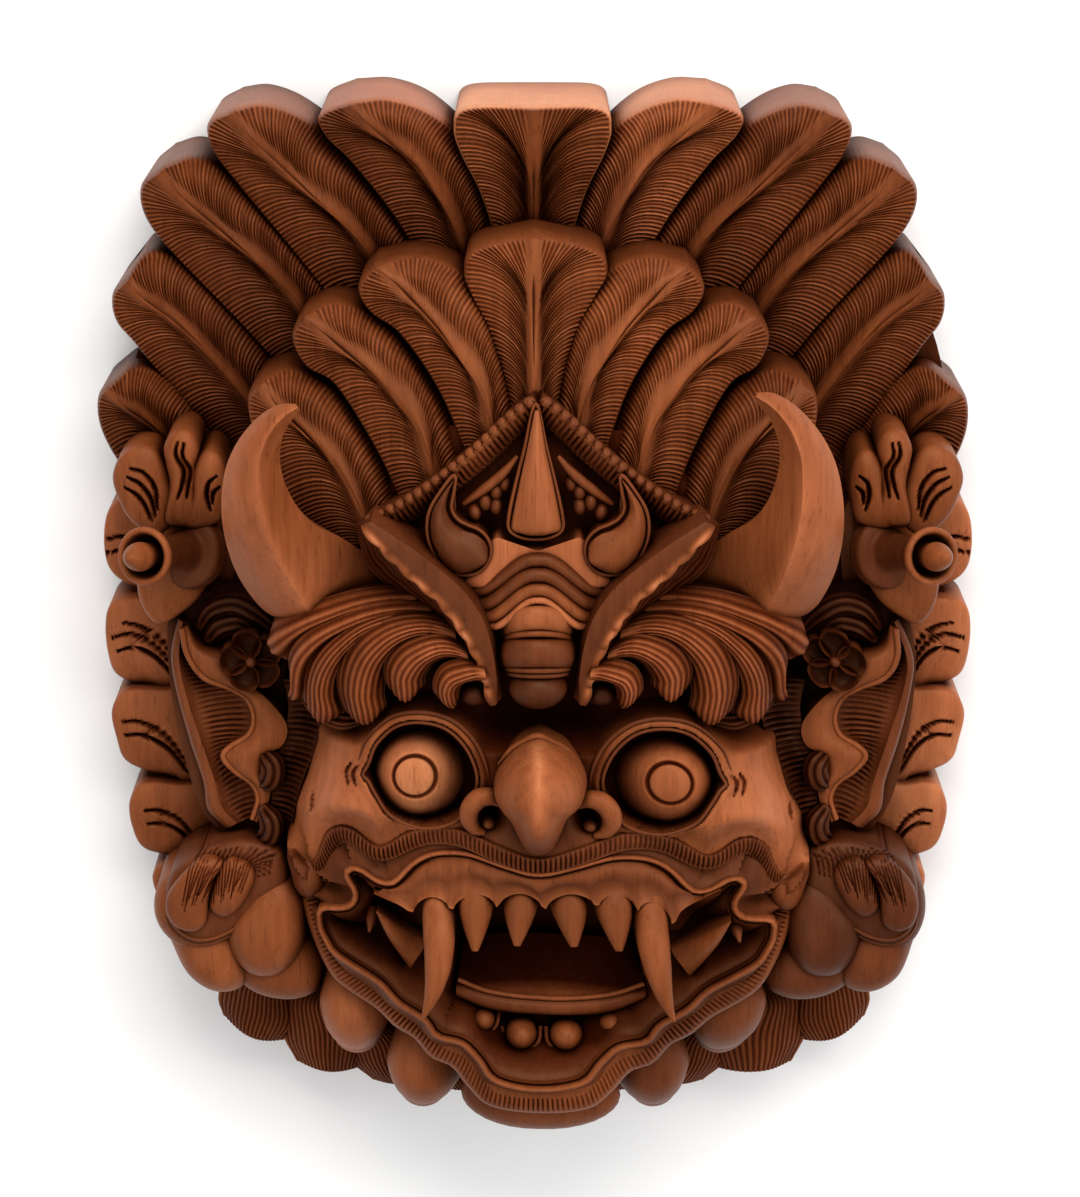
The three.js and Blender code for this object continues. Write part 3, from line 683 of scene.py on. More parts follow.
def brows(carving):
    """Curled locks of the brows, each lying over the one behind it."""
    for plan in BROW_LOCKS:
        outer, inner = np.array(plan["outer"], float), np.array(plan["inner"], float)
        end = (outer[-1] + inner[-1]) / 2 + (0, -2.5, -8)
        outer = np.vstack([outer, outer[-1] * 0.7 + end * 0.3 + (0, -1, -1)])
        inner = np.vstack([inner, inner[-1] * 0.7 + end * 0.3 + (0, -1, -1)])
        carving.add_both(*lock(outer, inner, plan["ribs"]))
    # A near-black blob under the innermost locks: painted shade.
    carving.add_both(blob((-29, -13, 141), (7.5, 6.0, 7.0)), 0.02)
    eyelash = [(-112, -14, 112), (-104, -25, 116), (-92, -32, 119), (-78, -30, 121)]
    carving.add_both(sweep(eyelash, [3, 5, 5, 2], ribs=7, rib_depth=1.4, sides=35, steps=30), 0.24)


FLANGE_EDGE = [
    (-80, 69.5, 158), (-72, 61, 160), (-63.5, 52.5, 161), (-54.5, 44, 161), (-44.5, 35, 161),
    (-36, 23, 160), (-28.5, 9, 157), (-24, -6, 153), (-21.5, -17, 149)
]
FLANGE_SCALLOPS = 9
FLANGE_WEAR_AND_HIGHLIGHT = 2.0       # how far the chips, and the lighter edge of bare wood and painted highlight, reach in from the edge


def flanges(carving):
    """The two worn, scalloped wings that run down from the corners of the gable."""
    foot = [
        (-84, 64, 132), (-78, 44, 130), (-62, 30, 132), (-47, 20, 136), (-34, 4, 138), (-24, -14, 138)
    ]
    edge = spline(FLANGE_EDGE, 160)
    wave = np.abs(np.sin(np.linspace(0, FLANGE_SCALLOPS * math.pi, 160)))
    out = unit(offset(edge, 1, 21) - edge)
    front = edge - out * (0.6 + 1.4 * wave[:, None])
    crest = edge + out * 2.2
    crest[:, 2] += 1.0
    top = [
        (-76, 72, 159), (-62.5, 64, 162), (-50.5, 55.5, 163), (-35, 42, 163), (-25.5, 28, 162),
        (-21, 13, 159), (-19, -2, 155), (-18.5, -15, 149)
    ]
    inside_foot = [
        (-74, 76, 140), (-52, 62, 142), (-37, 48, 144), (-26, 35, 146), (-20, 22, 148), (-18, 4, 148),
        (-16.5, -14, 146)
    ]
    points, faces, cuts = loft([foot, front, crest, top, inside_foot], rows=160, across=10,
                               bulges=[-1.5, 0.5, 0.4, 0.4, 0], ribs={0: 5}, cut=0.8)
    away, place = distance_to(points[:, :2], edge)
    chip = np.abs(np.sin(place ** 1.2 * FLANGE_SCALLOPS * math.pi)) ** 0.7
    wear_and_painted_light = 0.75 + 0.25 * np.sin(place * 23)
    # Lighter towards the scalloped edge: bare worn wood and a painted highlight.
    near_edge = np.exp(-(away / FLANGE_WEAR_AND_HIGHLIGHT) ** 2) * smooth(148, 154, points[:, 2])
    points[:, 2] -= 1.8 * (1 - chip) * near_edge
    carving.add_both((points, faces, cuts), 0.25 + 0.58 * near_edge * wear_and_painted_light * (0.3 + 0.7 * chip))


GABLE = [(-2, 126), (-14, 117), (-26, 105), (-42, 91), (-60, 78), (-79, 68)]


def gable(carving):
    """The peaked panel of the diadem with its beaded and hatched border."""
    left = spline([(0, 120, 138), (-40, 87, 134), (-74, 66, 130), (-46, 36, 132), (-18, 14, 140)], 60)
    right = flip(left)
    carving.add(strip([left, right], 100, bulges=[1.0], rows=60), 0.34)
    outer = at_height(GABLE, (150, 151, 150, 148, 146, 146))
    line = spline(outer, 20)
    for x, y, z in line[:-1] + (line[1:] - line[:-1]) * 0.45:
        carving.add_both(blob((x + 0.2, y + 0.2, z - 1.6), (3.0, 3.0, 3.2), sides=18, rings=12), 0.34)
    edge = spline(outer, 80)
    inner = offset(edge, 9.5, 21)
    inner[:, 2] -= 5
    over = offset(edge, -0.5, 21)
    over[:, 2] += 1.4
    carving.add_both(strip([over, inner], 112, bulges=[1.5], hatch={0: 2.7}, cut=1.5), 0.3)
    rib = [(-9, 100, 148), (-16, 92, 148), (-25, 84, 146), (-34, 77, 144)]
    carving.add_both(sweep(rib, [1.2, 2.4, 2.4, 1.2], sides=12, steps=24), 0.4)
    for x, y in ((-24, 78), (-19, 83), (-19, 76), (-15, 87), (-29, 73)):
        carving.add_both(blob((x, y, 144), (3.2, 4.4, 4.0), sides=16, rings=10), 0.3)


# Heights of the middle and the ends, radius, half width, distance from the back, tone.
ARCHES = [
    ((53, 37), 3.4, 30, 154, 0.3), ((46.5, 31), 3.6, 28, 156, 0.3), ((40, 26), 3.2, 25, 158, 0.5),
    ((35.5, 22), 1.9, 22, 160, 0.72)
]
# Height, radius, half width, distance from the back, sag of the ends, tone.
RINGS = [
    (28, 5.6, 13.5, 162, 8, 0.6), (20.6, 1.8, 14.5, 162, 7, 0.42), (11.5, 6.6, 14.5, 163, 4, 0.3),
    (3.2, 1.5, 14.5, 162, 2.5, 0.34), (0.2, 1.4, 14, 160.5, 2, 0.28)
]


def diadem(carving):
    """The spike between two crescents, on a plate above stacked arches."""
    frame_line = [
        (-1, 125, 151), (-5.5, 106, 152), (-9.5, 90, 152), (-13, 74, 152), (-13, 66.5, 151),
        (-8, 63, 151), (-1, 62, 151), (6, 63, 151), (11, 66.5, 151), (11, 74, 152), (7.5, 90, 152),
        (3.5, 106, 152)
    ]
    plate = pillow([(x - 1, y) for x, y, _ in frame_line], 120, 149.5, 0.5, around=120, centre=(0, 80))
    carving.add(plate, 0.3)
    carving.add(rim(frame_line, 0.9), 0.4)
    spike_left = [
        (-1.5, 122, 156), (-5, 104, 154), (-8.5, 88, 153), (-12, 70, 152), (-11, 66, 152), (-8, 65, 151)
    ]
    spike_ridge = [
        (-0.5, 123, 157), (-0.8, 104, 159), (-0.8, 88, 160), (-0.8, 74, 160.5), (-0.8, 68, 159),
        (-0.8, 65, 156)
    ]
    spike_right = [
        (0.5, 122, 156), (3.5, 104, 154), (7, 88, 153), (10.5, 70, 152), (9.5, 66, 152), (6.5, 65, 151)
    ]
    spike = [spike_left, spike_ridge, spike_right]
    carving.add(strip(spike, 140, bulges=[0.6, 0.6], rows=60, across=8, inset=0.2), 0.66)
    outer = [
        (-38, 91), (-43, 85), (-48.5, 76), (-49.5, 66), (-46.5, 57), (-41, 50.5), (-34.5, 47.5),
        (-28, 49), (-23, 53)
    ]
    inner = [
        (-38, 91), (-41, 84), (-42, 77), (-39, 71), (-34, 67.5), (-28, 65.5), (-24, 62.5), (-22, 59),
        (-22.5, 55)
    ]
    outer, inner = ([(-36.5 + 0.94 * (x + 36.5), y) for x, y in line] for line in (outer, inner))
    edges = [at_height(line, (156, 156, 157, 157, 155)) for line in (outer, inner)]
    body = strip(edges, 138, bulges=[4.0], rows=60, across=12, inset=0.2)
    # The right crescent is painted lighter: painted light.
    carving.add_both(body, 0.18, right_painted_light=0.22)
    around = [
        (-38, 94), (-45, 86), (-51, 76), (-52, 65), (-48.5, 55), (-42, 48), (-34, 45), (-26, 46.5),
        (-21, 51.5), (-19.5, 58), (-21.5, 63.5), (-26, 67.5), (-32, 69.8), (-37, 72.8), (-39.8, 78),
        (-38.5, 86)
    ]
    around = [(-36.5 + 0.88 * (x + 36.5), 65 + 0.95 * (y - 65)) for x, y in around]
    carving.add_both(rim(at_height(around, 154), 1.0), 0.34)
    carving.add_both(pillow(around, 120, 151.5, 1.0, centre=(-37, 60), around=120), 0.24)
    arch_plate = [
        (-19, 63), (-26, 53), (-33, 42), (-24, 40), (-16, 48), (-8, 53), (0, 55), (8, 53), (16, 48),
        (24, 40), (33, 42), (26, 53), (19, 63), (9, 58), (-9, 58)
    ]
    carving.add(pillow(arch_plate, 120, 152, 1.2, centre=(0, 57), around=140), 0.66)
    for (high, low), radius, half, z, tone in ARCHES:
        line = []
        for t in np.linspace(-1, 1, 17):
            drop = smooth(0.05, 0.95, abs(t))
            line.append((t * half, high - (high - low) * drop, z - 7 * t * t))
        carving.add(sweep(line, [radius] * 3, sides=20, steps=60, flat=1.1), tone)
    for y, radius, half, z, drop, tone in RINGS:
        line = []
        for turn in np.linspace(-0.55 * math.pi, 0.55 * math.pi, 17):
            fall = 1 - math.cos(turn)
            line.append((half * math.sin(turn), y - drop * fall, z - 15 * fall))
        flatter = min(1, 3.6 / radius)
        carving.add(sweep(line, [radius] * 3, sides=24, steps=48, up=(0, 1, 0), wide=flatter), tone)
    # A near-black blob under the rings, between the brows: painted shade.
    carving.add(blob((0, -8, 150), (13.5, 10, 12)), 0.06)


# ------------------------------------------------------------------ face and mouth

def both_halves(left):
    """A line given from the left to the middle, carried on to the right."""
    return left + [(-x, y, z) for x, y, z in left[-2::-1]]


LIP_CREST = both_halves([
    (-103, -128, 99), (-109, -126.5, 97), (-114, -123, 96), (-117.5, -118, 96), (-119.5, -111, 97),
    (-120, -105, 99), (-117.5, -100.5, 102), (-114, -103, 103), (-110, -107, 104), (-106, -106, 106),
    (-103, -100, 109), (-100, -91, 112.5), (-96, -86.3, 116), (-91, -84.8, 119), (-86, -85.8, 122),
    (-77, -91.6, 127), (-71, -91, 129), (-61, -83.7, 133), (-48, -79.5, 138), (-34, -80, 142),
    (-18, -86, 147), (0, -91, 150)
])
BEAD_TOP = both_halves([
    (-104, -131, 108), (-102.5, -127.7, 110), (-99, -126.6, 112), (-94, -126.2, 114),
    (-89, -124.6, 116), (-86.3, -121, 117), (-86.3, -116.5, 118), (-88.3, -112.5, 119),
    (-90.2, -108.7, 119.5), (-89.6, -105.3, 120.5), (-86.5, -104, 121), (-82, -105.2, 122.5),
    (-77.5, -108.2, 124), (-73, -110, 125.5), (-68, -109.5, 127), (-63.5, -105, 128.5),
    (-59, -99.5, 130.5), (-53, -95, 132.5), (-45, -92, 135.5), (-32, -91.5, 139.5), (-15, -96, 144.5),
    (0, -99, 147)
])
BEAD_LOW = both_halves([
    (-104, -131, 108), (-103.5, -138, 107), (-101, -143.5, 108), (-97, -149.5, 110), (-88, -155.5, 112),
    (-75, -163, 116), (-66, -172, 119), (-54, -179, 122), (-48, -187, 123), (-36, -190, 125),
    (-28, -198, 126), (-20, -208, 127), (0, -212, 128)
])
BAND_LOW = both_halves([
    (-111, -127, 96), (-108.5, -137, 98), (-104, -150, 100), (-97, -163, 103), (-88, -170, 106),
    (-76, -177, 110), (-67, -185, 113), (-58, -190, 115), (-50, -199, 117), (-40, -203, 119),
    (-32, -213, 120), (-22, -222, 121), (0, -225, 122)
])
GUM_POINTS = [
    (-59, -122), (-40.5, -120), (-19, -117), (3, -118), (26, -116), (43.5, -117.5), (59.5, -125)
]
UPPER_TEETH = [
    ((-29, -108), (-29.5, -139)), ((-8, -108), (-9.8, -136.5)), ((13.6, -108), (16.2, -136)),
    ((33, -108), (35.5, -137))
]
EYE_CENTRE = (54.5, -53)            # the almond opening; the ball sits a little lower
EYEBALL_CENTRE = (54.5, -58, 119)
EYEBALL_RADIUS = 21
IRIS_RADIUS = 10.2
EYE_OPENING = [
    (26.9, -1.5), (24.3, 3.7), (20.4, 13.3), (11, 22.5), (-0.6, 25.2), (-12.2, 22.5), (-21.4, 13.3),
    (-26.3, 0.5), (-24.4, -10.8), (-17.4, -20.5), (-7.3, -25), (3.6, -25), (14.4, -19.7), (20.6, -10.8),
    (24.4, -4)
]
HOLLOWS = [((0, 20, 0), (116, 106, 86)), ((0, -62, 0), (112, 136, 44))]
MOUTH_MIDDLE = 3                    # the mouth is a little right of the nose
CHIN_LINE = -136                    # below this the face is all lip and jaw
FACE_TOP, FACE_LOW, FACE_REACH = 108, -222, 127
FACE_STEP = 1.1
FACE_EDGE = [
    (-222, 14), (-212, 26), (-196, 44), (-180, 68), (-160, 92), (-145, 103), (-130, 110), (-118, 116),
    (-106, 119), (-95, 119), (-80, 117), (-65, 110), (-48, 105), (-15, 103), (20, 106), (50, 104),
    (80, 86), (108, 50)
]


def face_lean(points):
    """The right half of the face, as carved, sits a little lower and wider than the left."""
    right = np.maximum(points[:, 0], 0)
    points[:, 0] += 4 * smooth(0, 60, right) + 0.1 * np.maximum(right - 60, 0)
    points[:, 1] -= 0.058 * right


def face_half_width(y):
    """Half the width of the face at a height."""
    place, half = np.array(FACE_EDGE).T
    return np.interp(y, place, half)


def lip_line(points):
    """The lip's outer edge all round: the hatched crest above and the hatched band below."""
    return np.vstack([spline(LIP_CREST, points), spline(BAND_LOW, points)[::-1]])


def eye_line(side):
    """The almond opening of one eye."""
    line = spline([(e, f, 0) for e, f in EYE_OPENING], 90, closed=True)
    return np.column_stack([side * (EYE_CENTRE[0] + line[:, 0]), EYE_CENTRE[1] + line[:, 1]])


def nostril(ax, y):
    """One in the middle of a nostril, none outside it."""
    return np.exp(-((ax - 22) / 5) ** 2 - ((y + 72) / 6) ** 2)


def face_height(x, y):
    """The skin of the face before it is cut: dome, brow hollow, cheeks and nostrils."""
    ax = np.abs(x)
    z = 146 - 36 * (ax / 119) ** 2.2
    z = z - 10 * smooth(-44, -30, y) * smooth(30, 16, ax)
    z = z + 9 * np.exp(-((ax - 92) / 22) ** 2 - ((y + 72) / 24) ** 2)
    z = z - 7 * np.exp(-(ax / 30) ** 2 - ((y + 30) / 30) ** 2)
    z = z - 12 * nostril(ax, y)
    edge = np.clip((ax / face_half_width(y) - 0.70) / 0.30, 0, 1)
    return z - 34 * (1 - np.sqrt(1 - 0.998 * edge ** 2.2))


def sink_mouth(flat, z, lip):
    """The face's heights with the lips rolled in and the mouth sunk, and the painted shade of each
    place: near black over the mouth's hole, darker deeper in the mouth, in the gum pits and in the
    nostrils.
    """
    x, y = flat.T
    from_lip, place = distance_to(flat, lip, closed=True)
    lip_height = np.interp(place, np.linspace(0, 1, len(lip)), lip[:, 2])
    z = z + (lip_height - 1.5 - z) * (1 - smooth(0, 16, from_lip))
    z = np.where(y < CHIN_LINE, lip_height - 9, z)
    mouth = np.vstack([spline(BEAD_TOP, 180), spline(BEAD_LOW, 110)[::-1]])
    from_bead, place = distance_to(flat, mouth, closed=True)
    bead_height = np.interp(place, np.linspace(0, 1, len(mouth)), mouth[:, 2])
    across = from_lip / (from_lip + from_bead + 1e-6)
    rounding = 1 - np.sqrt(1 - np.clip(1 - from_lip / 8, 0, 1) ** 2)
    roll = lip_height * (1 - across) + bead_height * across - 0.6 - 6 * rounding
    roll = roll + 6 * smooth(104, 112, np.abs(x)) * smooth(-130, -122, y)
    roll = roll - 5 * np.sin(math.pi * across) * smooth(6, 20, from_lip + from_bead)
    z = np.where(inside(flat, lip), roll, z)
    aside = np.abs(x - MOUTH_MIDDLE)
    gum_pits = np.exp(-(np.maximum(aside - 22, 0) / 12) ** 2 - ((y + 187) / 9) ** 2)
    pocket = bead_height - 1.5 - 4 * smooth(0, 3, from_bead)
    pocket = pocket - 19 * smooth(2, 20, from_bead) - 5 * gum_pits
    hole = smooth(0, 5, 44 - aside) * smooth(0, 5, y + 172) * smooth(0, 5, -104 - y)
    pocket = pocket * (1 - hole) + 67 * hole
    within = inside(flat, mouth)
    # Painted shade: near black over the hole, darker away from the bead, in the gum pits and in the
    # nostrils.
    cuts = np.where(within, 2.2 * hole + 0.55 * smooth(0, 12, from_bead) + 0.9 * gum_pits,
                    1.2 * nostril(np.abs(x), y))
    return np.where(within, pocket, z), cuts


def sink_eyes(flat, z, cuts):
    """The same with the eye sockets and the hollow under the brows cut in, with painted shade in the
    sockets, under the brows and beside the nose.
    """
    x, y = flat.T
    lid = np.full(len(flat), np.inf)
    for side in (-1, 1):
        almond = eye_line(side)
        away, _ = distance_to(flat, almond, closed=True)
        signed = np.where(inside(flat, almond), away, -away)
        lid = np.minimum(lid, -signed)
        socket = smooth(-1.0, 1.0, signed)
        z = z - 22 * socket
        z = z + 1.2 * np.exp(-((signed + 2.6) / 1.4) ** 2)
        # Painted shade in the socket.
        cuts = np.maximum(cuts, 1.3 * smooth(0.3, 1, socket))
    brow_hollow = smooth(4, 9, lid) * smooth(-43, -32, y)
    z = z - 24 * brow_hollow * smooth(112, 98, np.abs(x))
    beside_nose = smooth(-66, -44, y) * smooth(34, 24, np.abs(x))
    # Painted shade under the brows and beside the nose.
    return z, np.maximum(cuts, np.maximum(0.9 * brow_hollow, 0.8 * beside_nose))


def face_creases():
    """Two short cuts at the outer corner of each eye and one on each cheek."""
    creases = [[(-106, -70), (-107, -79)], [(110, -72), (111, -79)]]
    for side in (-1, 1):
        for shift in (0, 3.4):
            line = [(84 + shift, -51), (86 + shift, -55), (85 + shift, -60)]
            creases.append([(side * x, y) for x, y in line])
    return creases


def face():
    """The head: skin, eye sockets and the floor of the mouth, closed behind."""
    rows = int((FACE_TOP - FACE_LOW) / FACE_STEP)
    columns = int(2 * FACE_REACH / FACE_STEP)
    y = np.linspace(FACE_TOP, FACE_LOW, rows)
    x = np.linspace(-1, 1, columns)[None] * face_half_width(y)[:, None]
    y = np.repeat(y[:, None], columns, axis=1)
    flat = np.column_stack([x.ravel(), y.ravel()])
    lip = lip_line(150)
    z, cuts = sink_mouth(flat, face_height(flat[:, 0], flat[:, 1]), lip)
    z, cuts = sink_eyes(flat, z, cuts)
    foot = np.full((rows, 1), 8.0)
    sides = [np.stack([x[:, [k]], y[:, [k]], foot], axis=2) for k in (0, -1)]
    grid = np.concatenate([sides[0], np.stack([x, y, z.reshape(x.shape)], axis=2), sides[1]], axis=1)
    depth = np.zeros(grid.shape[:2])
    depth[:, 1:-1] = cuts.reshape(x.shape)
    points, faces, depth = engrave(tube(grid, depth), face_creases(), width=1.5, depth=2.4)
    # Painted light on the cheeks, painted shade down the middle of the face.
    cheek = np.exp(-((np.abs(points[:, 0]) - 96) / 26) ** 2 - ((points[:, 1] + 70) / 26) ** 2)
    tone = 0.5 + 0.22 * cheek - 0.26 * np.exp(-(points[:, 0] / 30) ** 2)
    lip_tone = np.where(inside(flat, lip), 0.27, 1).reshape(rows, columns)
    tone = np.minimum(tone, np.pad(lip_tone, ((0, 0), (1, 1)), mode="edge").ravel())
    tone = np.where(points[:, 1] < CHIN_LINE, 0.24, tone)
    return (points, faces, depth), tone


def eyeball(centre, look):
    """A ball with the iris ring cut into it, drawn over towards where it looks."""
    rings, sides = 110, 56
    polar = np.linspace(0.01, math.pi - 0.05, rings)[:, None]
    around = np.linspace(0, 2 * math.pi, sides, endpoint=False)[None]
    iris = math.asin(IRIS_RADIUS / EYEBALL_RADIUS)
    ring = np.exp(-((polar - iris) / 0.042) ** 2)
    reach = EYEBALL_RADIUS - 1.6 * ring
    x = reach * np.sin(polar) * np.cos(around)
    y = reach * np.sin(polar) * np.sin(around)
    z = reach * np.cos(polar) * np.ones_like(around)
    grid = np.stack([centre[0] + x + z * look[0], centre[1] + y + z * look[1], centre[2] + z], axis=2)
    # The iris ring is also kept as painted shade in its groove.
    return tube(grid, 2.4 * ring * np.ones_like(around))


def eyes(carving):
    """Two round eyes, each in an almond socket with a thin lid."""
    for side in (-1, 1):
        centre = np.array(EYEBALL_CENTRE) * (side, 1, 1)
        carving.add(eyeball(centre, (side * 0.15, 0.2)), 0.66 - 0.06 * side)
        line = eye_line(side)
        heights = face_height(line[:, 0], line[:, 1]) + 0.3
        carving.add(rim(np.column_stack([line, heights - 0.2]), 0.9, steps=150), 0.28)
        above = 1.2 * np.array(EYE_OPENING[1:9])
        fold = [(side * (EYE_CENTRE[0] + x), EYE_CENTRE[1] + y) for x, y in above]
        fold = [(x, y, face_height(np.array([x]), np.array([y]))[0]) for x, y in fold]
        carving.add(sweep(fold, [0.3, 1.0, 1.2, 1.2, 1.0, 0.3], sides=12, steps=70), 0.22)


NOSE_OUTLINE = [
    (0, -30.5), (7, -33), (13.5, -37), (19.5, -45), (21.8, -54), (19.5, -62.5), (14, -68.5),
    (10.5, -77), (6.5, -85), (0, -87.5), (-6, -85), (-9.4, -79), (-13.2, -71), (-18.5, -64.5),
    (-21, -57), (-17.6, -46), (-9, -35)
]


def nose(carving):
    """A bulb above a tapered tip, with a raised ridge lit by a painted highlight, and two thick curled
    nostrils.
    """
    points, faces, cuts = pillow(NOSE_OUTLINE, 130, 141, 43, rings=34, around=90, edge=0.5,
                                 centre=(0, -54), slope=(0, -0.1))
    high = smooth(148, 160, points[:, 2])
    ridge = np.exp(-(points[:, 0] / 3.6) ** 2) * smooth(-78, -58, points[:, 1]) * high
    points[:, 2] += 0.8 * ridge
    # Painted highlight along the ridge; darker towards the tip.
    wear_and_painted_light = 0.54 + 0.2 * ridge - 0.22 * smooth(-64, -84, points[:, 1])
    carving.add(outward((points, faces, cuts)), wear_and_painted_light)
    cap = [
        (-18.5, -46, 146), (-12, -38, 149), (-6, -33.5, 151), (0, -31, 152), (6, -33.5, 151),
        (12, -37, 149), (18.5, -44, 146)
    ]
    carving.add(sweep(cap, [0.4, 1.5, 1.7, 2.0, 1.7, 1.5, 0.4], sides=14, steps=60), 0.44)
    ala = [
        (-17.5, -63, 148), (-22, -60.5, 150), (-27, -61, 150.5), (-31, -65.5, 149.5),
        (-32, -71.5, 147.5), (-29.5, -77, 145.5), (-25, -79.5, 144)
    ]
    carving.add_both(sweep(ala, [3.0, 4.2, 4.8, 4.6, 4.2, 3.2, 1.6], sides=24, steps=50), 0.5)
    carving.add_both(blob((-23, -75, 143.5), (3.2, 2.8, 4.0), sides=20, rings=14), 0.36)


def calmed(line, window):
    """A line with its tight bends averaged out, its ends kept."""
    half = window // 2
    padded = np.vstack([2 * line[0] - line[half:0:-1], line, 2 * line[-1] - line[-2:-half - 2:-1]])
    kernel = np.ones(window) / window
    return np.stack([np.convolve(padded[:, k], kernel, "valid") for k in range(3)], axis=1)


def bead(line, floor, inner, tone):
    """A thin rounded rib that follows a line, with a cut along its inner side, and its tones."""
    fine = spline(line, 400)
    sides = [
        offset(fine, -1.3 * inner, 5), offset(fine, 1.3 * inner, 5), offset(fine, 2.0 * inner, 7),
        offset(fine, 2.9 * inner, 7)
    ]
    for side, drop in zip(sides, (0, 0, 1.7, 0.7)):
        side[:, 2] -= drop
    shell = strip(sides, floor, bulges=[1.5, 0, 0], rows=400, across=6, inset=0.1)
    # The cut beside the rib is painted near black: painted shade.
    return shell, np.tile([tone] * 6 + [0.4, 0.02, 0.34, 0.3, 0.3], 400)


def lips(carving):
    """The rolled lips: hatched outer crests, and a thin bead with a cut beside it."""
    crest = spline(LIP_CREST, 320)
    crest = crest[np.abs(crest[:, 0]) < 117.6]
    crest = crest[np.argmax(crest[:, 1] > -104):]
    crest = crest[:len(crest) - np.argmax(crest[::-1, 1] > -104)]
    hatched = calmed(offset(crest, -8.0, 31), 13)
    hatched[:, 2] -= 2.2
    outer = calmed(offset(crest, 1.8, 9), 3)
    outer[:, 2] -= 5.0
    from_end = 0.5 - np.abs(np.linspace(0, 1, len(crest)) - 0.5)
    for line in (outer, crest, hatched):
        line[:, 2] -= 14 * smooth(0.05, 0, from_end)
    band = strip([outer, crest, hatched], 76, bulges=[0.6, 1.2], across=7,
                 hatch={1: HATCH_PITCH}, cut=1.3)
    carving.add(band, 0.36)
    carving.add_both(blob((-108.5, -114, 91), (9.5, 14, 15), sides=32, rings=24), 0.34)
    carving.add(*bead(BEAD_TOP, 90, -1, 0.56))
    band = spline(BAND_LOW, 150)
    edge = calmed(spline(BEAD_LOW, 150), 9)
    hatched = offset(band, 7.5, 15)
    hatched[:, 2] += 1.6
    outer = offset(band, -2.2, 15)
    outer[:, 2] -= 6.0
    edge[:, 2] -= 2.0
    lower = strip([outer, band, hatched, edge], 70, bulges=[0.8, 1.6, -0.4], across=6,
                  hatch={1: HATCH_PITCH}, cut=1.1)
    carving.add(lower, 0.4)
    carving.add(*bead(BEAD_LOW, 70, 1, 0.46))


def upper_gum(carving):
    """The gum below the lip, whose lower edge comes down in points between the teeth."""
    count = 320
    top = offset(spline(BEAD_TOP, count), -2.5, 9)
    top = resample(top[np.abs(top[:, 0]) < 72], count)
    top[:, 2] -= 0.9
    edge = [(-77, -115), (-71, -117), (-65, -119)]
    for (left, low), (right, next_low) in zip(GUM_POINTS[:-1], GUM_POINTS[1:]):
        for t in (0.0, 0.1, 0.28, 0.5, 0.72, 0.9):
            rise = 7.5 * math.sin(math.pi * t) ** 0.6
            edge.append((left + (right - left) * t, low + (next_low - low) * t + rise))
    edge += [GUM_POINTS[-1], (63, -118), (70, -113.5), (80, -109)]
    edge = [(x, y, 142 - 17 * (abs(x) / 80) ** 2.2) for x, y in edge]
    edge = spline(edge, count)
    middle = top * 0.45 + edge * 0.55
    middle[:, 2] -= 0.8
    under = edge.copy()
    under[:, 1] += 1.5
    under[:, 2] -= 5
    gum = strip([top, middle, edge, under], 108, bulges=[1.4, -0.8, 0.4], across=7, rows=count)
    columns = len(gum[0]) // count
    # Painted light on the bulge below the bead and on the edge, painted shade in the hollow between and
    # under the edge.
    tones = np.interp(np.arange(columns), [0, 2, 7, 12, 14, columns], [0.36, 0.42, 0.3, 0.4, 0.48, 0.3])
    carving.add(gum, np.tile(tones, count))


def teeth(carving):
    """Four upper teeth, two fangs, and two side tusks with a small tooth each."""
    for root, tip in UPPER_TEETH:
        middle = root[0] * 0.5 + tip[0] * 0.5
        line = [(*root, 128), (root[0], root[1] - 7, 133), (middle, -125, 136), (*tip, 139)]
        carving.add(tooth(line, [8.0, 8.6, 8.4, 7.4, 5.8, 3.8, 1.6], 34), 0.42)
    fangs = [
        [(-47, -112, 126), (-46.5, -126, 133), (-46.4, -138, 138), (-47.3, -149, 141),
         (-49.7, -160, 142), (-54, -171, 143)],
        [(48.5, -111, 126), (49.3, -124, 133), (51, -136, 138), (53.2, -148, 141), (56, -159, 142),
         (60, -169, 143)],
    ]
    for fang in fangs:
        carving.add(tooth(fang, [7.4, 7.7, 7.4, 6.2, 4.0, 0.8], 44), 0.48)
    tusks = [
        [(-76.5, -124, 124), (-71, -139, 118), (-61, -158, 108)],
        [(-76.2, -124.5, 124.5), (-67, -138, 123), (-58, -151, 116)],
        [(-76, -124, 124), (-66, -133, 118), (-53, -144, 108)],
    ]
    small = [(-78, -130, 104), (-80, -138, 113)]
    reach = (1.11, 1.0, 1.0)
    for shape in (tusks, [flip(line) * reach for line in tusks]):
        carving.add(strip(shape, 96, bulges=0.8, rows=40), 0.5)
    for line in (small, flip(small) * reach):
        carving.add(tooth(line, [3.4, 2.6, 0.6], 12), 0.4)


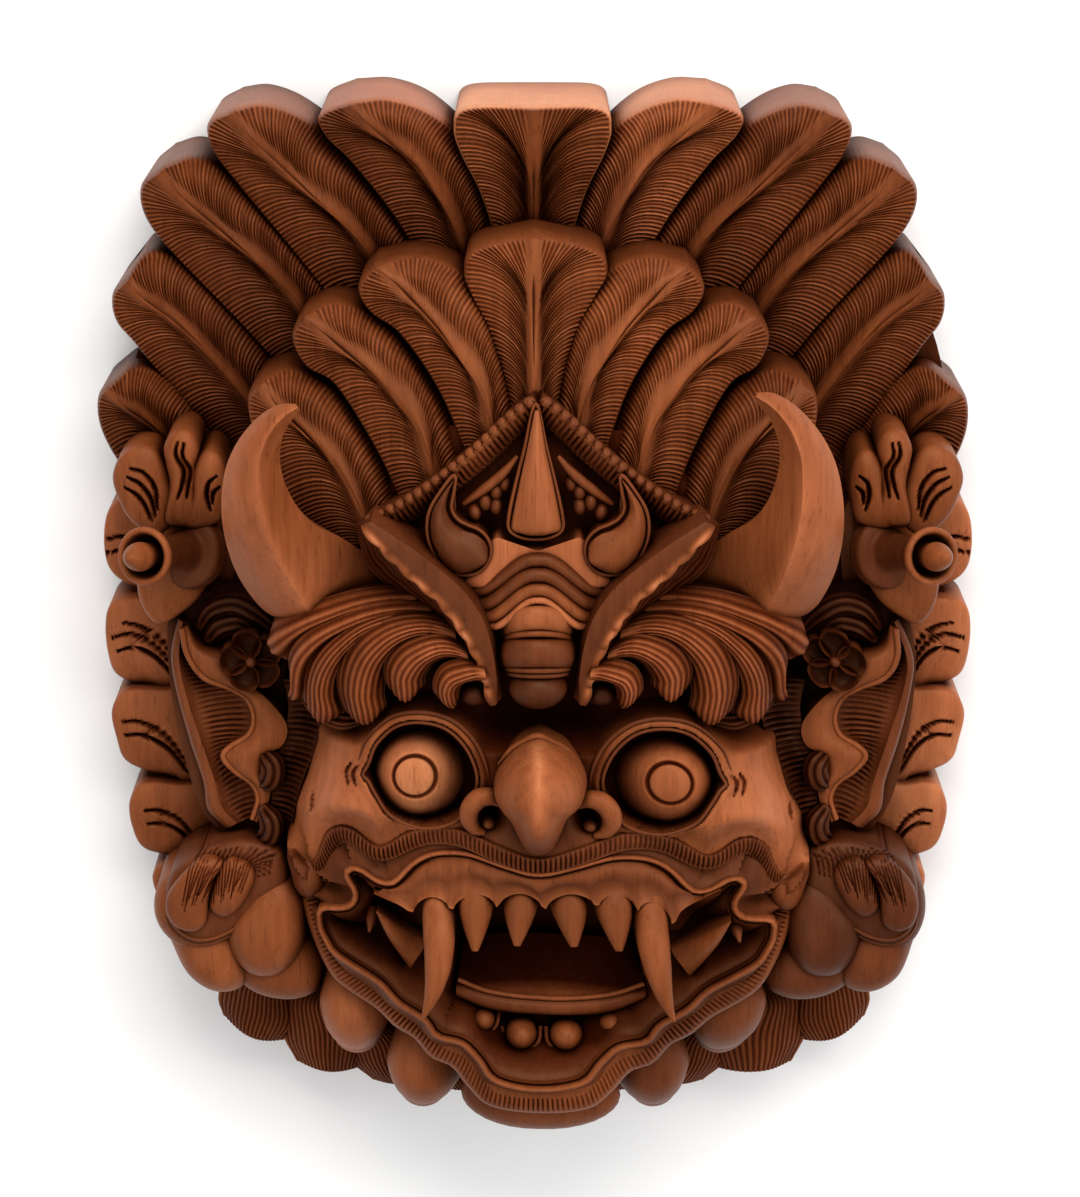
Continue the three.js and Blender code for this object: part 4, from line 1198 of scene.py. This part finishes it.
def tongue(carving):
    """The tongue with a raised rim, the lower teeth in their cups, and the chin."""
    back = [(-36, -152, 76), (-16, -150, 78), (4, -150, 78), (24, -150, 78), (44, -152, 76)]
    far = [(-38, -163, 103), (-22, -167, 104), (4, -169, 105), (30, -167, 104), (47, -163, 103)]
    near = [(-39, -167, 109), (-22, -173, 111), (4, -176, 112), (30, -173, 111), (48, -166, 109)]
    low = [(-38, -173, 106), (-22, -179, 107), (4, -181, 108), (30, -179, 107), (46, -172, 106)]
    points, faces, cuts = strip([back, far, near, low], 70, bulges=[-2.5, 0.6, 1.4], across=8, rows=60)
    # Painted shade, near black on the back of the tongue deep in the mouth.
    cuts = 0.2 + 1.2 * smooth(-170, -164, points[:, 1])
    carving.add((points, faces, cuts), 0.3)
    groove = [
        (-38, -164, 107), (-22, -169.5, 109), (4, -172, 110), (30, -169.5, 109), (47, -163.5, 107)
    ]
    carving.add(rim(groove, 1.2, closed=False), 0.4)
    for x, y, radius in ((-26, -184, 5.4), (-8, -191, 7.4), (13, -191, 7.4), (33, -184, 5.4)):
        carving.add(blob((x, y, 106), (radius, radius, radius * 1.3)), 0.36)
        left, right = x - radius, x + radius
        side = y - radius * 0.7
        cup = [
            (left - 1.8, y + 2, 102), (left - 0.4, side, 105), (x, y - radius - 2.4, 107),
            (right + 0.4, side, 105), (right + 1.8, y + 2, 102)
        ]
        carving.add(rim(cup, 1.2, closed=False, steps=40), 0.36)
    carving.add(blob((0, -222, 101), (37, 19, 15)), 0.34)


# ------------------------------------------------------------------ ears and sides

CLOUDS = [
    {"outline": [(-150, 60), (-186, 60), (-199, 57), (-206, 50), (-208.5, 36), (-207, 22), (-200, 14),
         (-186, 9), (-150, 6)],
     "cuts": [[(-207, 36), (-199, 38), (-190, 35), (-182, 30)], [(-207, 29), (-199, 31), (-190, 29),
         (-182, 24)]]},
    {"outline": [(-150, 10), (-182, 9), (-199, 8), (-206, 4), (-208.5, -6), (-208, -20), (-205, -31),
         (-197, -36), (-186, -38), (-174, -47), (-150, -50)],
     "cuts": [[(-199, -4), (-191, -6), (-182, -12), (-175, -21)], [(-205, -12), (-195, -10),
         (-184, -16), (-175, -27)], [(-203, -19), (-194, -17), (-184, -22), (-175, -33)]]},
    {"outline": [(-150, -36), (-180, -37), (-194, -37), (-202, -40), (-206.5, -50), (-204.5, -64),
         (-201, -75), (-190, -81), (-175, -85), (-162, -98), (-146, -90)],
     "cuts": [[(-201, -54), (-192, -54), (-180, -61), (-170, -76)], [(-200, -61), (-191, -61),
         (-179, -68), (-169, -82)]]},
    {"outline": [(-140, -84), (-172, -85), (-185, -84), (-194, -86), (-199, -96), (-198, -109),
         (-193, -120), (-180, -124), (-165, -127), (-140, -120)],
     "cuts": [[(-191, -99), (-183, -99), (-174, -104), (-166, -115)], [(-190, -106), (-182, -106),
         (-173, -111), (-166, -121)]]},
    {"outline": [(-140, -122), (-172, -124), (-183, -126), (-188.5, -133), (-186, -145), (-181, -154),
         (-165, -160), (-140, -150)],  "cuts": []},
]


def clouds(carving):
    """Rounded, slit scales down both sides, each lying over the one below."""
    for cloud in CLOUDS:
        middle = np.mean(cloud["outline"], axis=0) + (-8, 2)
        boss = pillow(cloud["outline"], ABOVE_BOARD, 40, 4, rings=22, around=100, edge=0.4,
                      centre=middle, slope=(0.06, 0.2))
        shell = engrave(boss, cloud["cuts"], width=1.6, depth=3.0)
        # The right clouds are painted lighter: painted light from the right.
        carving.add_both(shell, 0.56, right_painted_light=0.14)


def ears(carving):
    """Leaf-shaped ears: a hatched hollow behind a curling bead, and a plain front lobe."""
    outer = [
        (-170, 8, 80), (-174, -10, 80), (-172, -29, 79), (-166, -54, 78), (-160, -74, 78),
        (-158, -88, 78), (-150, -97, 78)
    ]
    edge = [
        (-168, 6, 84), (-170, -12, 84), (-167, -30, 83), (-160, -54, 82), (-154, -74, 81),
        (-151, -86, 81), (-144, -94, 81)
    ]
    bead = [
        (-168, 4, 88), (-165.5, -9, 88), (-158, -20, 88), (-146, -25, 88), (-138, -30, 88),
        (-134.5, -39, 88), (-137, -48, 88), (-146, -54, 88), (-149.5, -59, 88), (-144, -66, 88),
        (-136, -72, 88), (-133, -80, 88), (-136, -90, 88)
    ]
    hollow_bead = np.array(bead, float) - (1.5, 1.0, 7)
    fine_edge = spline(edge, 60) - (0, 0, 2.5)
    shell = strip([outer, edge, fine_edge + (1.6, 0, 0), hollow_bead], 30, bulges=[1.5, 0, -3.5],
                  hatch={2: 2.6}, cut=1.2, across=10)
    carving.add_both(shell, 0.34)
    carving.add_both(rim(bead, 1.5, closed=False, steps=90), 0.5)
    front = [
        (-166, 4, 82), (-160, -5, 84), (-152, -8, 86), (-145, -10, 88), (-137, -22, 90),
        (-127, -31, 91), (-119, -42, 92), (-121, -52, 92), (-130, -58, 91), (-130, -66, 90),
        (-127, -72, 90), (-128, -80, 89), (-132, -92, 87)
    ]
    carving.add_both(strip([bead, front], 30, bulges=[3.0], rows=90, across=10), 0.46)
    base = [
        (-174, 10), (-158, 18), (-134, 10), (-118, -8), (-116, -50), (-118, -98), (-140, -104),
        (-160, -92), (-172, -50), (-176, -16)
    ]
    carving.add_both(pillow(base, 30, 72, 2, rings=10, around=90, centre=(-142, -40)), 0.12)
    curls = [
        [(-160, 2, 76), (-154, 11, 80), (-143, 14, 82), (-131, 8, 84), (-122, 0, 86)],
        [(-156, -4, 78), (-150, 3, 81), (-141, 5, 83), (-134, 1, 85)],
        [(-131, -56, 88), (-126, -62, 92), (-127, -69, 92), (-131, -73, 88)],
        [(-131, -84, 88), (-127, -90, 91), (-128, -97, 90), (-133, -101, 86)],
    ]
    for line in curls:
        curl = sweep(line, [3.5, 6.0, 6.0, 3.0], sides=35, steps=22, ribs=7, rib_depth=1.2)
        carving.add_both(curl, 0.06)
    ear_side = [
        (-120, -20, 92), (-118, -34, 92), (-121, -50, 90), (-127, -64, 88), (-127, -80, 87),
        (-131, -100, 84)
    ]
    cheek_side = [
        (-102, -20, 98), (-102, -36, 98), (-106, -54, 97), (-112, -70, 96), (-116, -86, 95),
        (-117, -102, 92)
    ]
    carving.add_both(strip([ear_side, cheek_side], 30, bulges=[-3.0], hatch={0: 3.0}, cut=1.8), 0.04)


FLOWER_CENTRE = np.array([-135, -10, 96.0])
FLOWER_PETALS = 5
PETAL = ((1.5, 0), (3, -4.4), (8, -7.2), (13, -5.6), (14.8, 0), (13, 5.6), (8, 7.2), (3, 4.4))


def flowers(carving):
    """A flower of dished petals in front of each ear."""
    heart = FLOWER_CENTRE[:2]
    for k in range(FLOWER_PETALS):
        turn = math.pi / 2 + 0.25 + k * 2 * math.pi / FLOWER_PETALS
        out = np.array([math.cos(turn), math.sin(turn)])
        side = np.array([-out[1], out[0]])
        outline = [heart + out * along + side * across for along, across in PETAL]
        dish = pillow(outline, 74, 97.5, -5.0, rings=12, around=32, edge=0.8, centre=heart + out * 9)
        away = np.linalg.norm(dish[0][:, :2] - heart - out * 9, axis=1)
        carving.add_both(dish, 0.04 + 0.34 * smooth(4.6, 6.8, away))
    carving.add_both(blob(FLOWER_CENTRE + (0, 0, 0.5), (2.7, 2.7, 3)), 0.26)


EAR_PETALS = [
    {"outline": [(-176, 50), (-186, 52), (-193, 59), (-197, 68), (-199, 77), (-196, 86), (-189, 92),
         (-181, 92), (-175, 86), (-171, 76), (-166, 62)],  "top": 88,
     "cuts": [[(-190, 82), (-184, 80), (-179, 73), (-178, 63)], [(-192, 78), (-186, 75), (-181, 68),
         (-179, 59)], [(-193, 73), (-188, 70), (-184, 65), (-181, 57)]]},
    {"outline": [(-174, 56), (-172, 74), (-173.5, 84), (-174.5, 92), (-171, 99), (-165, 101),
         (-160, 98), (-158, 91), (-160, 82), (-160, 72), (-160, 56)],  "top": 92,
     "cuts": [[(-168, 95), (-168.5, 89), (-165, 82), (-166, 75), (-168, 69)], [(-164.5, 95),
         (-165.5, 89), (-162, 82), (-163, 75), (-164, 69)]]},
    {"outline": [(-166, 54), (-163, 70), (-161.5, 81), (-158.5, 88), (-153, 91), (-148, 87.5),
         (-145.5, 78), (-146, 68), (-150, 56)],  "top": 91,
     "cuts": [[(-150, 79), (-153.5, 76), (-154.5, 70), (-153, 63)], [(-148.5, 74), (-151.5, 71),
         (-152, 66)]]},
    {"outline": [(-148, 76), (-150, 50), (-154, 30), (-160, 18), (-169, 10), (-179, 5), (-186, 12),
         (-189, 24), (-188, 44), (-182, 62), (-166, 78)],  "top": 84, "cuts": []},
]


PLUG_START = np.array([-163, 41, 84.0])
PLUG_AXIS = (-0.44, 0.17, 1.0)
# Distance along the plug and its radius there, out to the rim, into the cup and over the bud.
PLUG_PROFILE = [
    (0, 0), (0, 17), (3, 18), (6, 17), (7.5, 14), (9.5, 10), (20, 8.2), (32, 8.6), (39, 10.4), (44, 13),
    (47, 13.6), (48.5, 12.2), (47, 10.2), (41, 8.8), (38, 7.4), (41, 6.2), (47, 6.4), (52, 6.8),
    (57, 5.6), (61, 3.4), (63, 1.6), (63.6, 0.3)
]


def ear_ornaments(carving):
    """Leaf sprays above the ears, each with a round plug that points out sideways."""
    for petal in EAR_PETALS[::-1]:
        middle = np.mean(petal["outline"], axis=0)
        boss = pillow(petal["outline"], 24, petal["top"], 6, rings=22, around=80, edge=0.5,
                      centre=middle)
        carving.add_both(engrave(boss, petal["cuts"], width=1.5, depth=3.0), 0.48)
    axis = unit(np.array(PLUG_AXIS))
    side = unit(np.cross(axis, (0, 1, 0)))
    rise = np.cross(side, axis)
    profile = spline([(along, radius, 0) for along, radius in PLUG_PROFILE], 130)[:, :2]
    turn = np.linspace(0, 2 * math.pi, 56, endpoint=False)
    around = np.cos(turn)[:, None] * side + np.sin(turn)[:, None] * rise
    rings = [PLUG_START + axis * along + max(radius, 0.2) * around for along, radius in profile]
    tones = 0.26 + 0.3 * smooth(36, 46, profile[:, 0])
    carving.add_both(tube(np.stack(rings)), np.repeat(tones, len(turn)))


BUD_PETALS = [
    {"outline": [(-178, -150), (-184, -138), (-182, -124), (-172, -116), (-160, -120), (-158, -140),
         (-166, -156)],  "top": 84, "swell": 10, "tones": (0.46, 0.16)},
    {"outline": [(-176, -156), (-178, -146), (-168, -132), (-150, -134), (-136, -150), (-140, -174),
         (-154, -180), (-168, -172)],  "top": 78, "swell": 14, "tones": (0.54, 0.34)},
    {"outline": [(-150, -150), (-136, -142), (-116, -146), (-104, -158), (-104, -176), (-116, -184),
         (-134, -182), (-146, -172)],  "top": 76, "swell": 13, "tones": (0.4, 0.22)},
    {"outline": [(-150, -138), (-148, -156), (-138, -168), (-124, -168), (-114, -156), (-110, -138),
         (-112, -122), (-122, -114), (-138, -120)],  "top": 86, "swell": 16, "tones": (0.48, 0.1)},
]
BUD_COLLAR = [
    (-178, -128), (-176, -142), (-166, -150), (-154, -149), (-140, -141), (-128, -130), (-119, -118),
    (-122, -104), (-140, -98), (-160, -104), (-174, -114)
]
CAP_LOBES = [
    [(-162, -107), (-172, -117), (-177, -126), (-176.5, -134), (-172, -140), (-164, -142),
     (-158.5, -138), (-157, -131), (-156, -123), (-153, -115), (-149, -108), (-155, -105)],
    [(-156.5, -128), (-154, -133), (-148.5, -134.5), (-142.5, -130.5), (-137.5, -123), (-134.5, -115),
     (-137, -108.5), (-146, -105.5), (-152, -112)],
]


def buds(carving):
    """A half-open bud at each lower corner: petals, a double collar and two leafy lobes."""
    def pair(shell, left, right):
        carving.add(shell, left)
        carving.add(mirrored(shell), right)

    for petal in BUD_PETALS:
        boss = pillow(petal["outline"], 30, petal["top"], petal["swell"], rings=14, around=60, edge=0.6)
        pair(boss, *petal["tones"])
    dome = pillow(BUD_COLLAR, 40, 92, 8, rings=24, around=110, edge=0.5)
    strokes = []
    for x in np.arange(-160, -122, 2.4):
        strokes.append([(x, -101 - 0.12 * abs(x + 140)), (x - 3, -108), (x - 4, -115)])
    pair(engrave(dome, strokes, width=1.0, depth=0.9), 0.26, 0.12)
    collar = spline(at_height(BUD_COLLAR[:7], 0), 120)
    sunk = 6 * (1 - np.sin(np.linspace(0, math.pi, 120))) ** 4
    middle = np.array([-148.0, -122.0, 0.0])
    for shrink, height, radius in ((1.0, 92.5, 1.5), (0.9, 95.6, 1.1)):
        ring = middle + (collar - middle) * shrink
        ring[:, 2] = height - sunk
        pair(rim(ring, radius, closed=False), 0.36, 0.24)
    for outline, foot in zip(CAP_LOBES, (-170, -144)):
        lobe = pillow(outline, 70, 100.5, 5.5, rings=22, around=100, edge=0.6)
        veins = []
        for k, x in enumerate(np.arange(-164, -134, 1.8)):
            tip = -119 - 3 * math.sin(1.7 * k) - 0.3 * (-134 - x)
            bend, end = x * 0.85 + foot * 0.15 - 1, x * 0.65 + foot * 0.35 - 3
            veins.append([(x, -106), (bend, -112), (end, tip)])
        pair(engrave(lobe, veins, width=0.7, depth=0.6), 0.42, 0.2)


BEARD_TUFTS = [
    [(-152, -182), (-158, -198), (-156, -209), (-141, -219), (-124, -222), (-116, -210), (-120, -186)],
    [(-126, -194), (-127, -216), (-120, -233), (-104, -239), (-87, -236), (-80, -214), (-94, -194)],
    [(-96, -206), (-94, -230), (-82, -243), (-66, -246), (-54, -238), (-54, -214), (-74, -206)],
    [(-64, -216), (-62, -234), (-50, -246), (-30, -250), (-20, -240), (-24, -222), (-44, -214)],
]


def beard(carving):
    """Hatched tufts under the jaw, with smooth round drops in front of them."""
    for outline in BEARD_TUFTS:
        outline = np.array(outline, float)
        root = (outline[0] + outline[-1]) / 2 * 0.75 + np.array([0, -150]) * 0.25
        edges = []
        for line in (outline, outline[::-1]):
            start = line[0] * 0.6 + root * 0.4
            edges.append([(*start, 34), (*line[0], 34), (*line[1], 31), (*line[2], 28)])
        fan = strip(edges, ABOVE_BOARD, bulges=[11], rows=16, ribs={0: 19}, cut=0.8, inset=0.2)
        carving.add_both(fan, 0.46)
    drops = [
        ([(-78, -150, 60), (-85, -172, 76), (-88, -190, 76), (-88, -203, 66)], [12, 17, 18.5, 12]),
        ([(-48, -186, 64), (-52, -202, 78), (-55, -218, 78), (-56, -230, 68)], [12, 17, 19, 12])
    ]
    for line, radii in drops:
        # The right drops are painted darker: painted shade.
        carving.add_both(sweep(line, radii, sides=28, steps=20), 0.5, right_painted_light=-0.12)
        end = np.array(line[-1])
        carving.add_both(blob(end + (0, 1, 1), (radii[-1] * 1.02,) * 3), 0.5, right_painted_light=-0.12)


# ------------------------------------------------------------------ backing

BACKING = [
    (0, 236), (40, 234), (84, 228), (124, 214), (158, 186), (182, 150), (194, 112), (196, 60), (196, 0),
    (194, -60), (184, -110), (172, -150), (150, -184), (112, -208), (66, -228), (30, -236), (0, -236)
]


def backing(carving):
    """The plain board that everything stands on."""
    right = np.array(BACKING, float)
    outline = np.vstack([right, right[1:-1][::-1] * (-1, 1)])
    carving.add(pillow(outline, 0, 34, 0.5, rings=8, around=220, centre=(0, 0)), 0.3)


def hollow_out(piece):
    """Takes the hand-cut hollow out of the back of a piece."""
    for centre, radii in HOLLOWS:
        scoop = Carving("scoop")
        scoop.add(blob(centre, radii, sides=72, rings=48))
        tool = scoop.build()
        cut = piece.modifiers.new("hollow", "BOOLEAN")
        cut.operation = "DIFFERENCE"
        cut.solver = "MANIFOLD"
        cut.object = tool
        bpy.context.view_layer.update()
        graph = bpy.context.evaluated_depsgraph_get()
        result = bpy.data.meshes.new_from_object(piece.evaluated_get(graph))
        piece.modifiers.clear()
        piece.data = result
        bpy.data.objects.remove(tool)


def side_lean(points):
    """On the right the ear stands a little further out, beside the wider cheek."""
    x = points[:, 0]
    points[:, 0] += 6 * smooth(90, 112, x) * smooth(195, 165, x) * smooth(12, -20, points[:, 1])
# ------------------------------------------------------------------ material


# Colours of the wood by tone, from stain left in the dark to bare worn wood; on some parts the tone
# also carries painted light and painted shade.
STAIN = [
    (0.0, (0.04, 0.008, 0.002)), (0.3, (0.115, 0.027, 0.008)), (0.5, (0.21, 0.054, 0.015)),
    (0.7, (0.38, 0.110, 0.040)), (0.9, (0.57, 0.222, 0.092)), (1.0, (0.72, 0.34, 0.12))
]
# What a cut's depth lets through of that colour: painted shade in cuts, grooves and recesses.
CUT_SHADE = [(0.05, (1, 1, 1)), (0.7, (0.5, 0.38, 0.3)), (1.0, (0.2, 0.12, 0.09))]


def wood():
    """Stained and waxed hardwood: orange-brown where worn and where painted light falls, with painted
    shade near black in the cuts and darker in crevices and recesses.
    """
    material = bpy.data.materials.new("stained_wood")
    material.use_nodes = True
    nodes, links = material.node_tree.nodes, material.node_tree.links
    shader = nodes["Principled BSDF"]
    shader.inputs["Specular Tint"].default_value = (1, 0.64, 0.4, 1)
    place = nodes.new("ShaderNodeTexCoord")

    def mapped(scale):
        node = nodes.new("ShaderNodeMapping")
        node.inputs["Scale"].default_value = scale
        links.new(place.outputs["Object"], node.inputs["Vector"])
        return node.outputs["Vector"]

    def noise(scale, stretch, detail=4.0, rough=0.55):
        node = nodes.new("ShaderNodeTexNoise")
        node.inputs["Scale"].default_value = scale
        node.inputs["Detail"].default_value = detail
        node.inputs["Roughness"].default_value = rough
        links.new(mapped(stretch), node.inputs["Vector"])
        return node.outputs["Fac"]

    def ramp(source, stops):
        node = nodes.new("ShaderNodeValToRGB")
        node.color_ramp.elements[0].position = stops[0][0]
        node.color_ramp.elements[0].color = (*stops[0][1], 1)
        node.color_ramp.elements[1].position = stops[-1][0]
        node.color_ramp.elements[1].color = (*stops[-1][1], 1)
        for position, colour in stops[1:-1]:
            node.color_ramp.elements.new(position).color = (*colour, 1)
        links.new(source, node.inputs["Fac"])
        return node.outputs["Color"]

    def math_node(kind, a, b, clamp=False):
        node = nodes.new("ShaderNodeMath")
        node.operation = kind
        node.use_clamp = clamp
        for socket, value in zip(node.inputs, (a, b)):
            if isinstance(value, (int, float)):
                socket.default_value = value
            else:
                links.new(value, socket)
        return node.outputs[0]

    def mix(kind, amount, a, b):
        node = nodes.new("ShaderNodeMix")
        node.data_type = "RGBA"
        node.blend_type = kind
        for socket, value in ((node.inputs[0], amount), (node.inputs[6], a), (node.inputs[7], b)):
            if isinstance(value, (int, float)):
                socket.default_value = value
            elif isinstance(value, tuple):
                socket.default_value = (*value, 1)
            else:
                links.new(value, socket)
        return node.outputs[2]

    def attribute(name):
        node = nodes.new("ShaderNodeAttribute")
        node.attribute_name = name
        return node.outputs["Fac"]

    def shade(distance):
        node = nodes.new("ShaderNodeAmbientOcclusion")
        node.samples = 8
        node.inputs["Distance"].default_value = distance
        return node.outputs["AO"]

    patches = noise(14, (1, 0.6, 1), 3)
    grain = noise(260, (1, 0.06, 1), 5)
    pores = noise(900, (1, 0.05, 1), 2)
    uneven = math_node("MULTIPLY", math_node("SUBTRACT", patches, 0.5), 0.5)
    base = ramp(math_node("ADD", attribute("tone"), uneven), STAIN)
    streaks = ramp(grain, [(0.3, (0.62, 0.55, 0.5)), (0.62, (1, 1, 1))])
    specks = ramp(pores, [(0.28, (0.5, 0.42, 0.36)), (0.4, (1, 1, 1))])
    coloured = mix("MULTIPLY", 0.7, mix("MULTIPLY", 0.6, base, streaks), specks)
    # Painted shade from ambient occlusion: darker in small crevices and in the larger recesses between
    # parts.
    near = shade(0.006)
    far = shade(0.05)
    open_near = ramp(near, [(0.25, (0.16, 0.1, 0.08)), (0.85, (1, 1, 1))])
    open_far = ramp(far, [(0.15, (0.14, 0.085, 0.07)), (0.85, (1, 1, 1))])
    stain_and_painted_shade = mix("MULTIPLY", 0.85, coloured, open_near)
    stain_and_painted_shade = mix("MULTIPLY", 0.9, stain_and_painted_shade, open_far)
    # Painted shade from the depth of cuts and recesses.
    cuts = ramp(attribute("depth"), CUT_SHADE)
    stain_and_painted_shade = mix("MULTIPLY", 0.95, stain_and_painted_shade, cuts)
    links.new(stain_and_painted_shade, shader.inputs["Base Color"])
    # The sheen is dimmed where the painted shade lies.
    gloss = math_node("MULTIPLY", ramp(far, [(0.3, (0.04,) * 3), (0.9, (0.24,) * 3)]), near)
    links.new(math_node("MULTIPLY", gloss, cuts), shader.inputs["Specular IOR Level"])
    rough = math_node("ADD", 0.36, math_node("MULTIPLY", grain, 0.22))
    links.new(rough, shader.inputs["Roughness"])
    bump = nodes.new("ShaderNodeBump")
    bump.inputs["Strength"].default_value = 0.25
    bump.inputs["Distance"].default_value = 0.0004
    links.new(math_node("ADD", grain, pores), bump.inputs["Height"])
    links.new(bump.outputs["Normal"], shader.inputs["Normal"])
    return material


# ------------------------------------------------------------------ studio


CAMERA_TILT = math.radians(14)
CAMERA_DISTANCE = 2.2
CAMERA_TARGET = Vector((0.0, 0.014, 0.07))
PICTURE_HEIGHT_AT_TARGET = 0.5686
SENSOR = 36
FLOOR_HALF = 3.0


def studio():
    """A pale floor, soft light from the crown side and the camera above."""
    scene = bpy.context.scene
    camera_data = bpy.data.cameras.new("camera")
    camera = bpy.data.objects.new("camera", camera_data)
    bpy.context.collection.objects.link(camera)
    away = Vector((0, math.sin(CAMERA_TILT), math.cos(CAMERA_TILT)))
    camera.location = CAMERA_TARGET + away * CAMERA_DISTANCE
    camera.rotation_euler = (-CAMERA_TILT, 0, 0)
    camera_data.sensor_width = SENSOR
    camera_data.lens = SENSOR * CAMERA_DISTANCE / PICTURE_HEIGHT_AT_TARGET
    camera_data.shift_x = 0.0017
    camera_data.clip_end = 20
    scene.camera = camera

    def area(name, place, size, power, colour=(1, 1, 1)):
        light = bpy.data.lights.new(name, "AREA")
        light.shape = "RECTANGLE"
        light.size, light.size_y = size
        light.energy = power
        light.color = colour
        lamp = bpy.data.objects.new(name, light)
        lamp.location = place
        towards = Vector(place) - Vector((0, 0, 0.05))
        lamp.rotation_euler = towards.to_track_quat("Z", "Y").to_euler()
        bpy.context.collection.objects.link(lamp)

    area("key", (0.25, 1.5, 1.6), (1.8, 1.2), 48, (1, 0.97, 0.93))
    area("fill", (-0.9, -0.4, 1.9), (1.6, 1.6), 12)
    area("rim", (1.3, 0.2, 1.2), (1.0, 1.0), 10)
    world = bpy.data.worlds.new("studio")
    world.use_nodes = True
    world.node_tree.nodes["Background"].inputs["Color"].default_value = (1, 1, 1, 1)
    world.node_tree.nodes["Background"].inputs["Strength"].default_value = 0.5
    scene.world = world
    scene.view_settings.view_transform = "Standard"

    mesh = bpy.data.meshes.new("floor")
    half = FLOOR_HALF
    corners = [(-half, -half, 0), (half, -half, 0), (half, half, 0), (-half, half, 0)]
    mesh.from_pydata(corners, [], [(0, 1, 2, 3)])
    floor = bpy.data.objects.new("floor", mesh)
    paper = bpy.data.materials.new("paper")
    paper.use_nodes = True
    shader = paper.node_tree.nodes["Principled BSDF"]
    shader.inputs["Base Color"].default_value = (0.93, 0.93, 0.93, 1)
    shader.inputs["Roughness"].default_value = 0.9
    mesh.materials.append(paper)
    bpy.context.collection.objects.link(floor)


# ------------------------------------------------------------------ the mask

def carvings():
    """Every piece of the mask, each with its carved forms."""
    outer, inner = crown()
    headdress = Carving("headdress")
    horns(headdress)
    brows(headdress)
    flanges(headdress)
    gable(headdress)
    diadem(headdress)
    head = Carving("head", face_lean)
    head.add(*face())
    mouth = Carving("mouth_and_eyes", face_lean)
    eyes(mouth)
    nose(mouth)
    lips(mouth)
    upper_gum(mouth)
    teeth(mouth)
    tongue(mouth)
    ear = Carving("ears", side_lean)
    ears(ear)
    flowers(ear)
    ear_ornaments(ear)
    side = Carving("sides", side_lean)
    clouds(side)
    buds(side)
    beard(side)
    back = Carving("backing")
    backing(back)
    return [outer, inner, headdress, head, mouth, ear, side, back]


WOOD = wood()
for carving in carvings():
    piece = carving.build()
    if carving.name in ("backing", "head"):
        hollow_out(piece)
    piece.data.materials.clear()
    piece.data.materials.append(WOOD)
    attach(piece, "root")
    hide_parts(NODE)
studio()
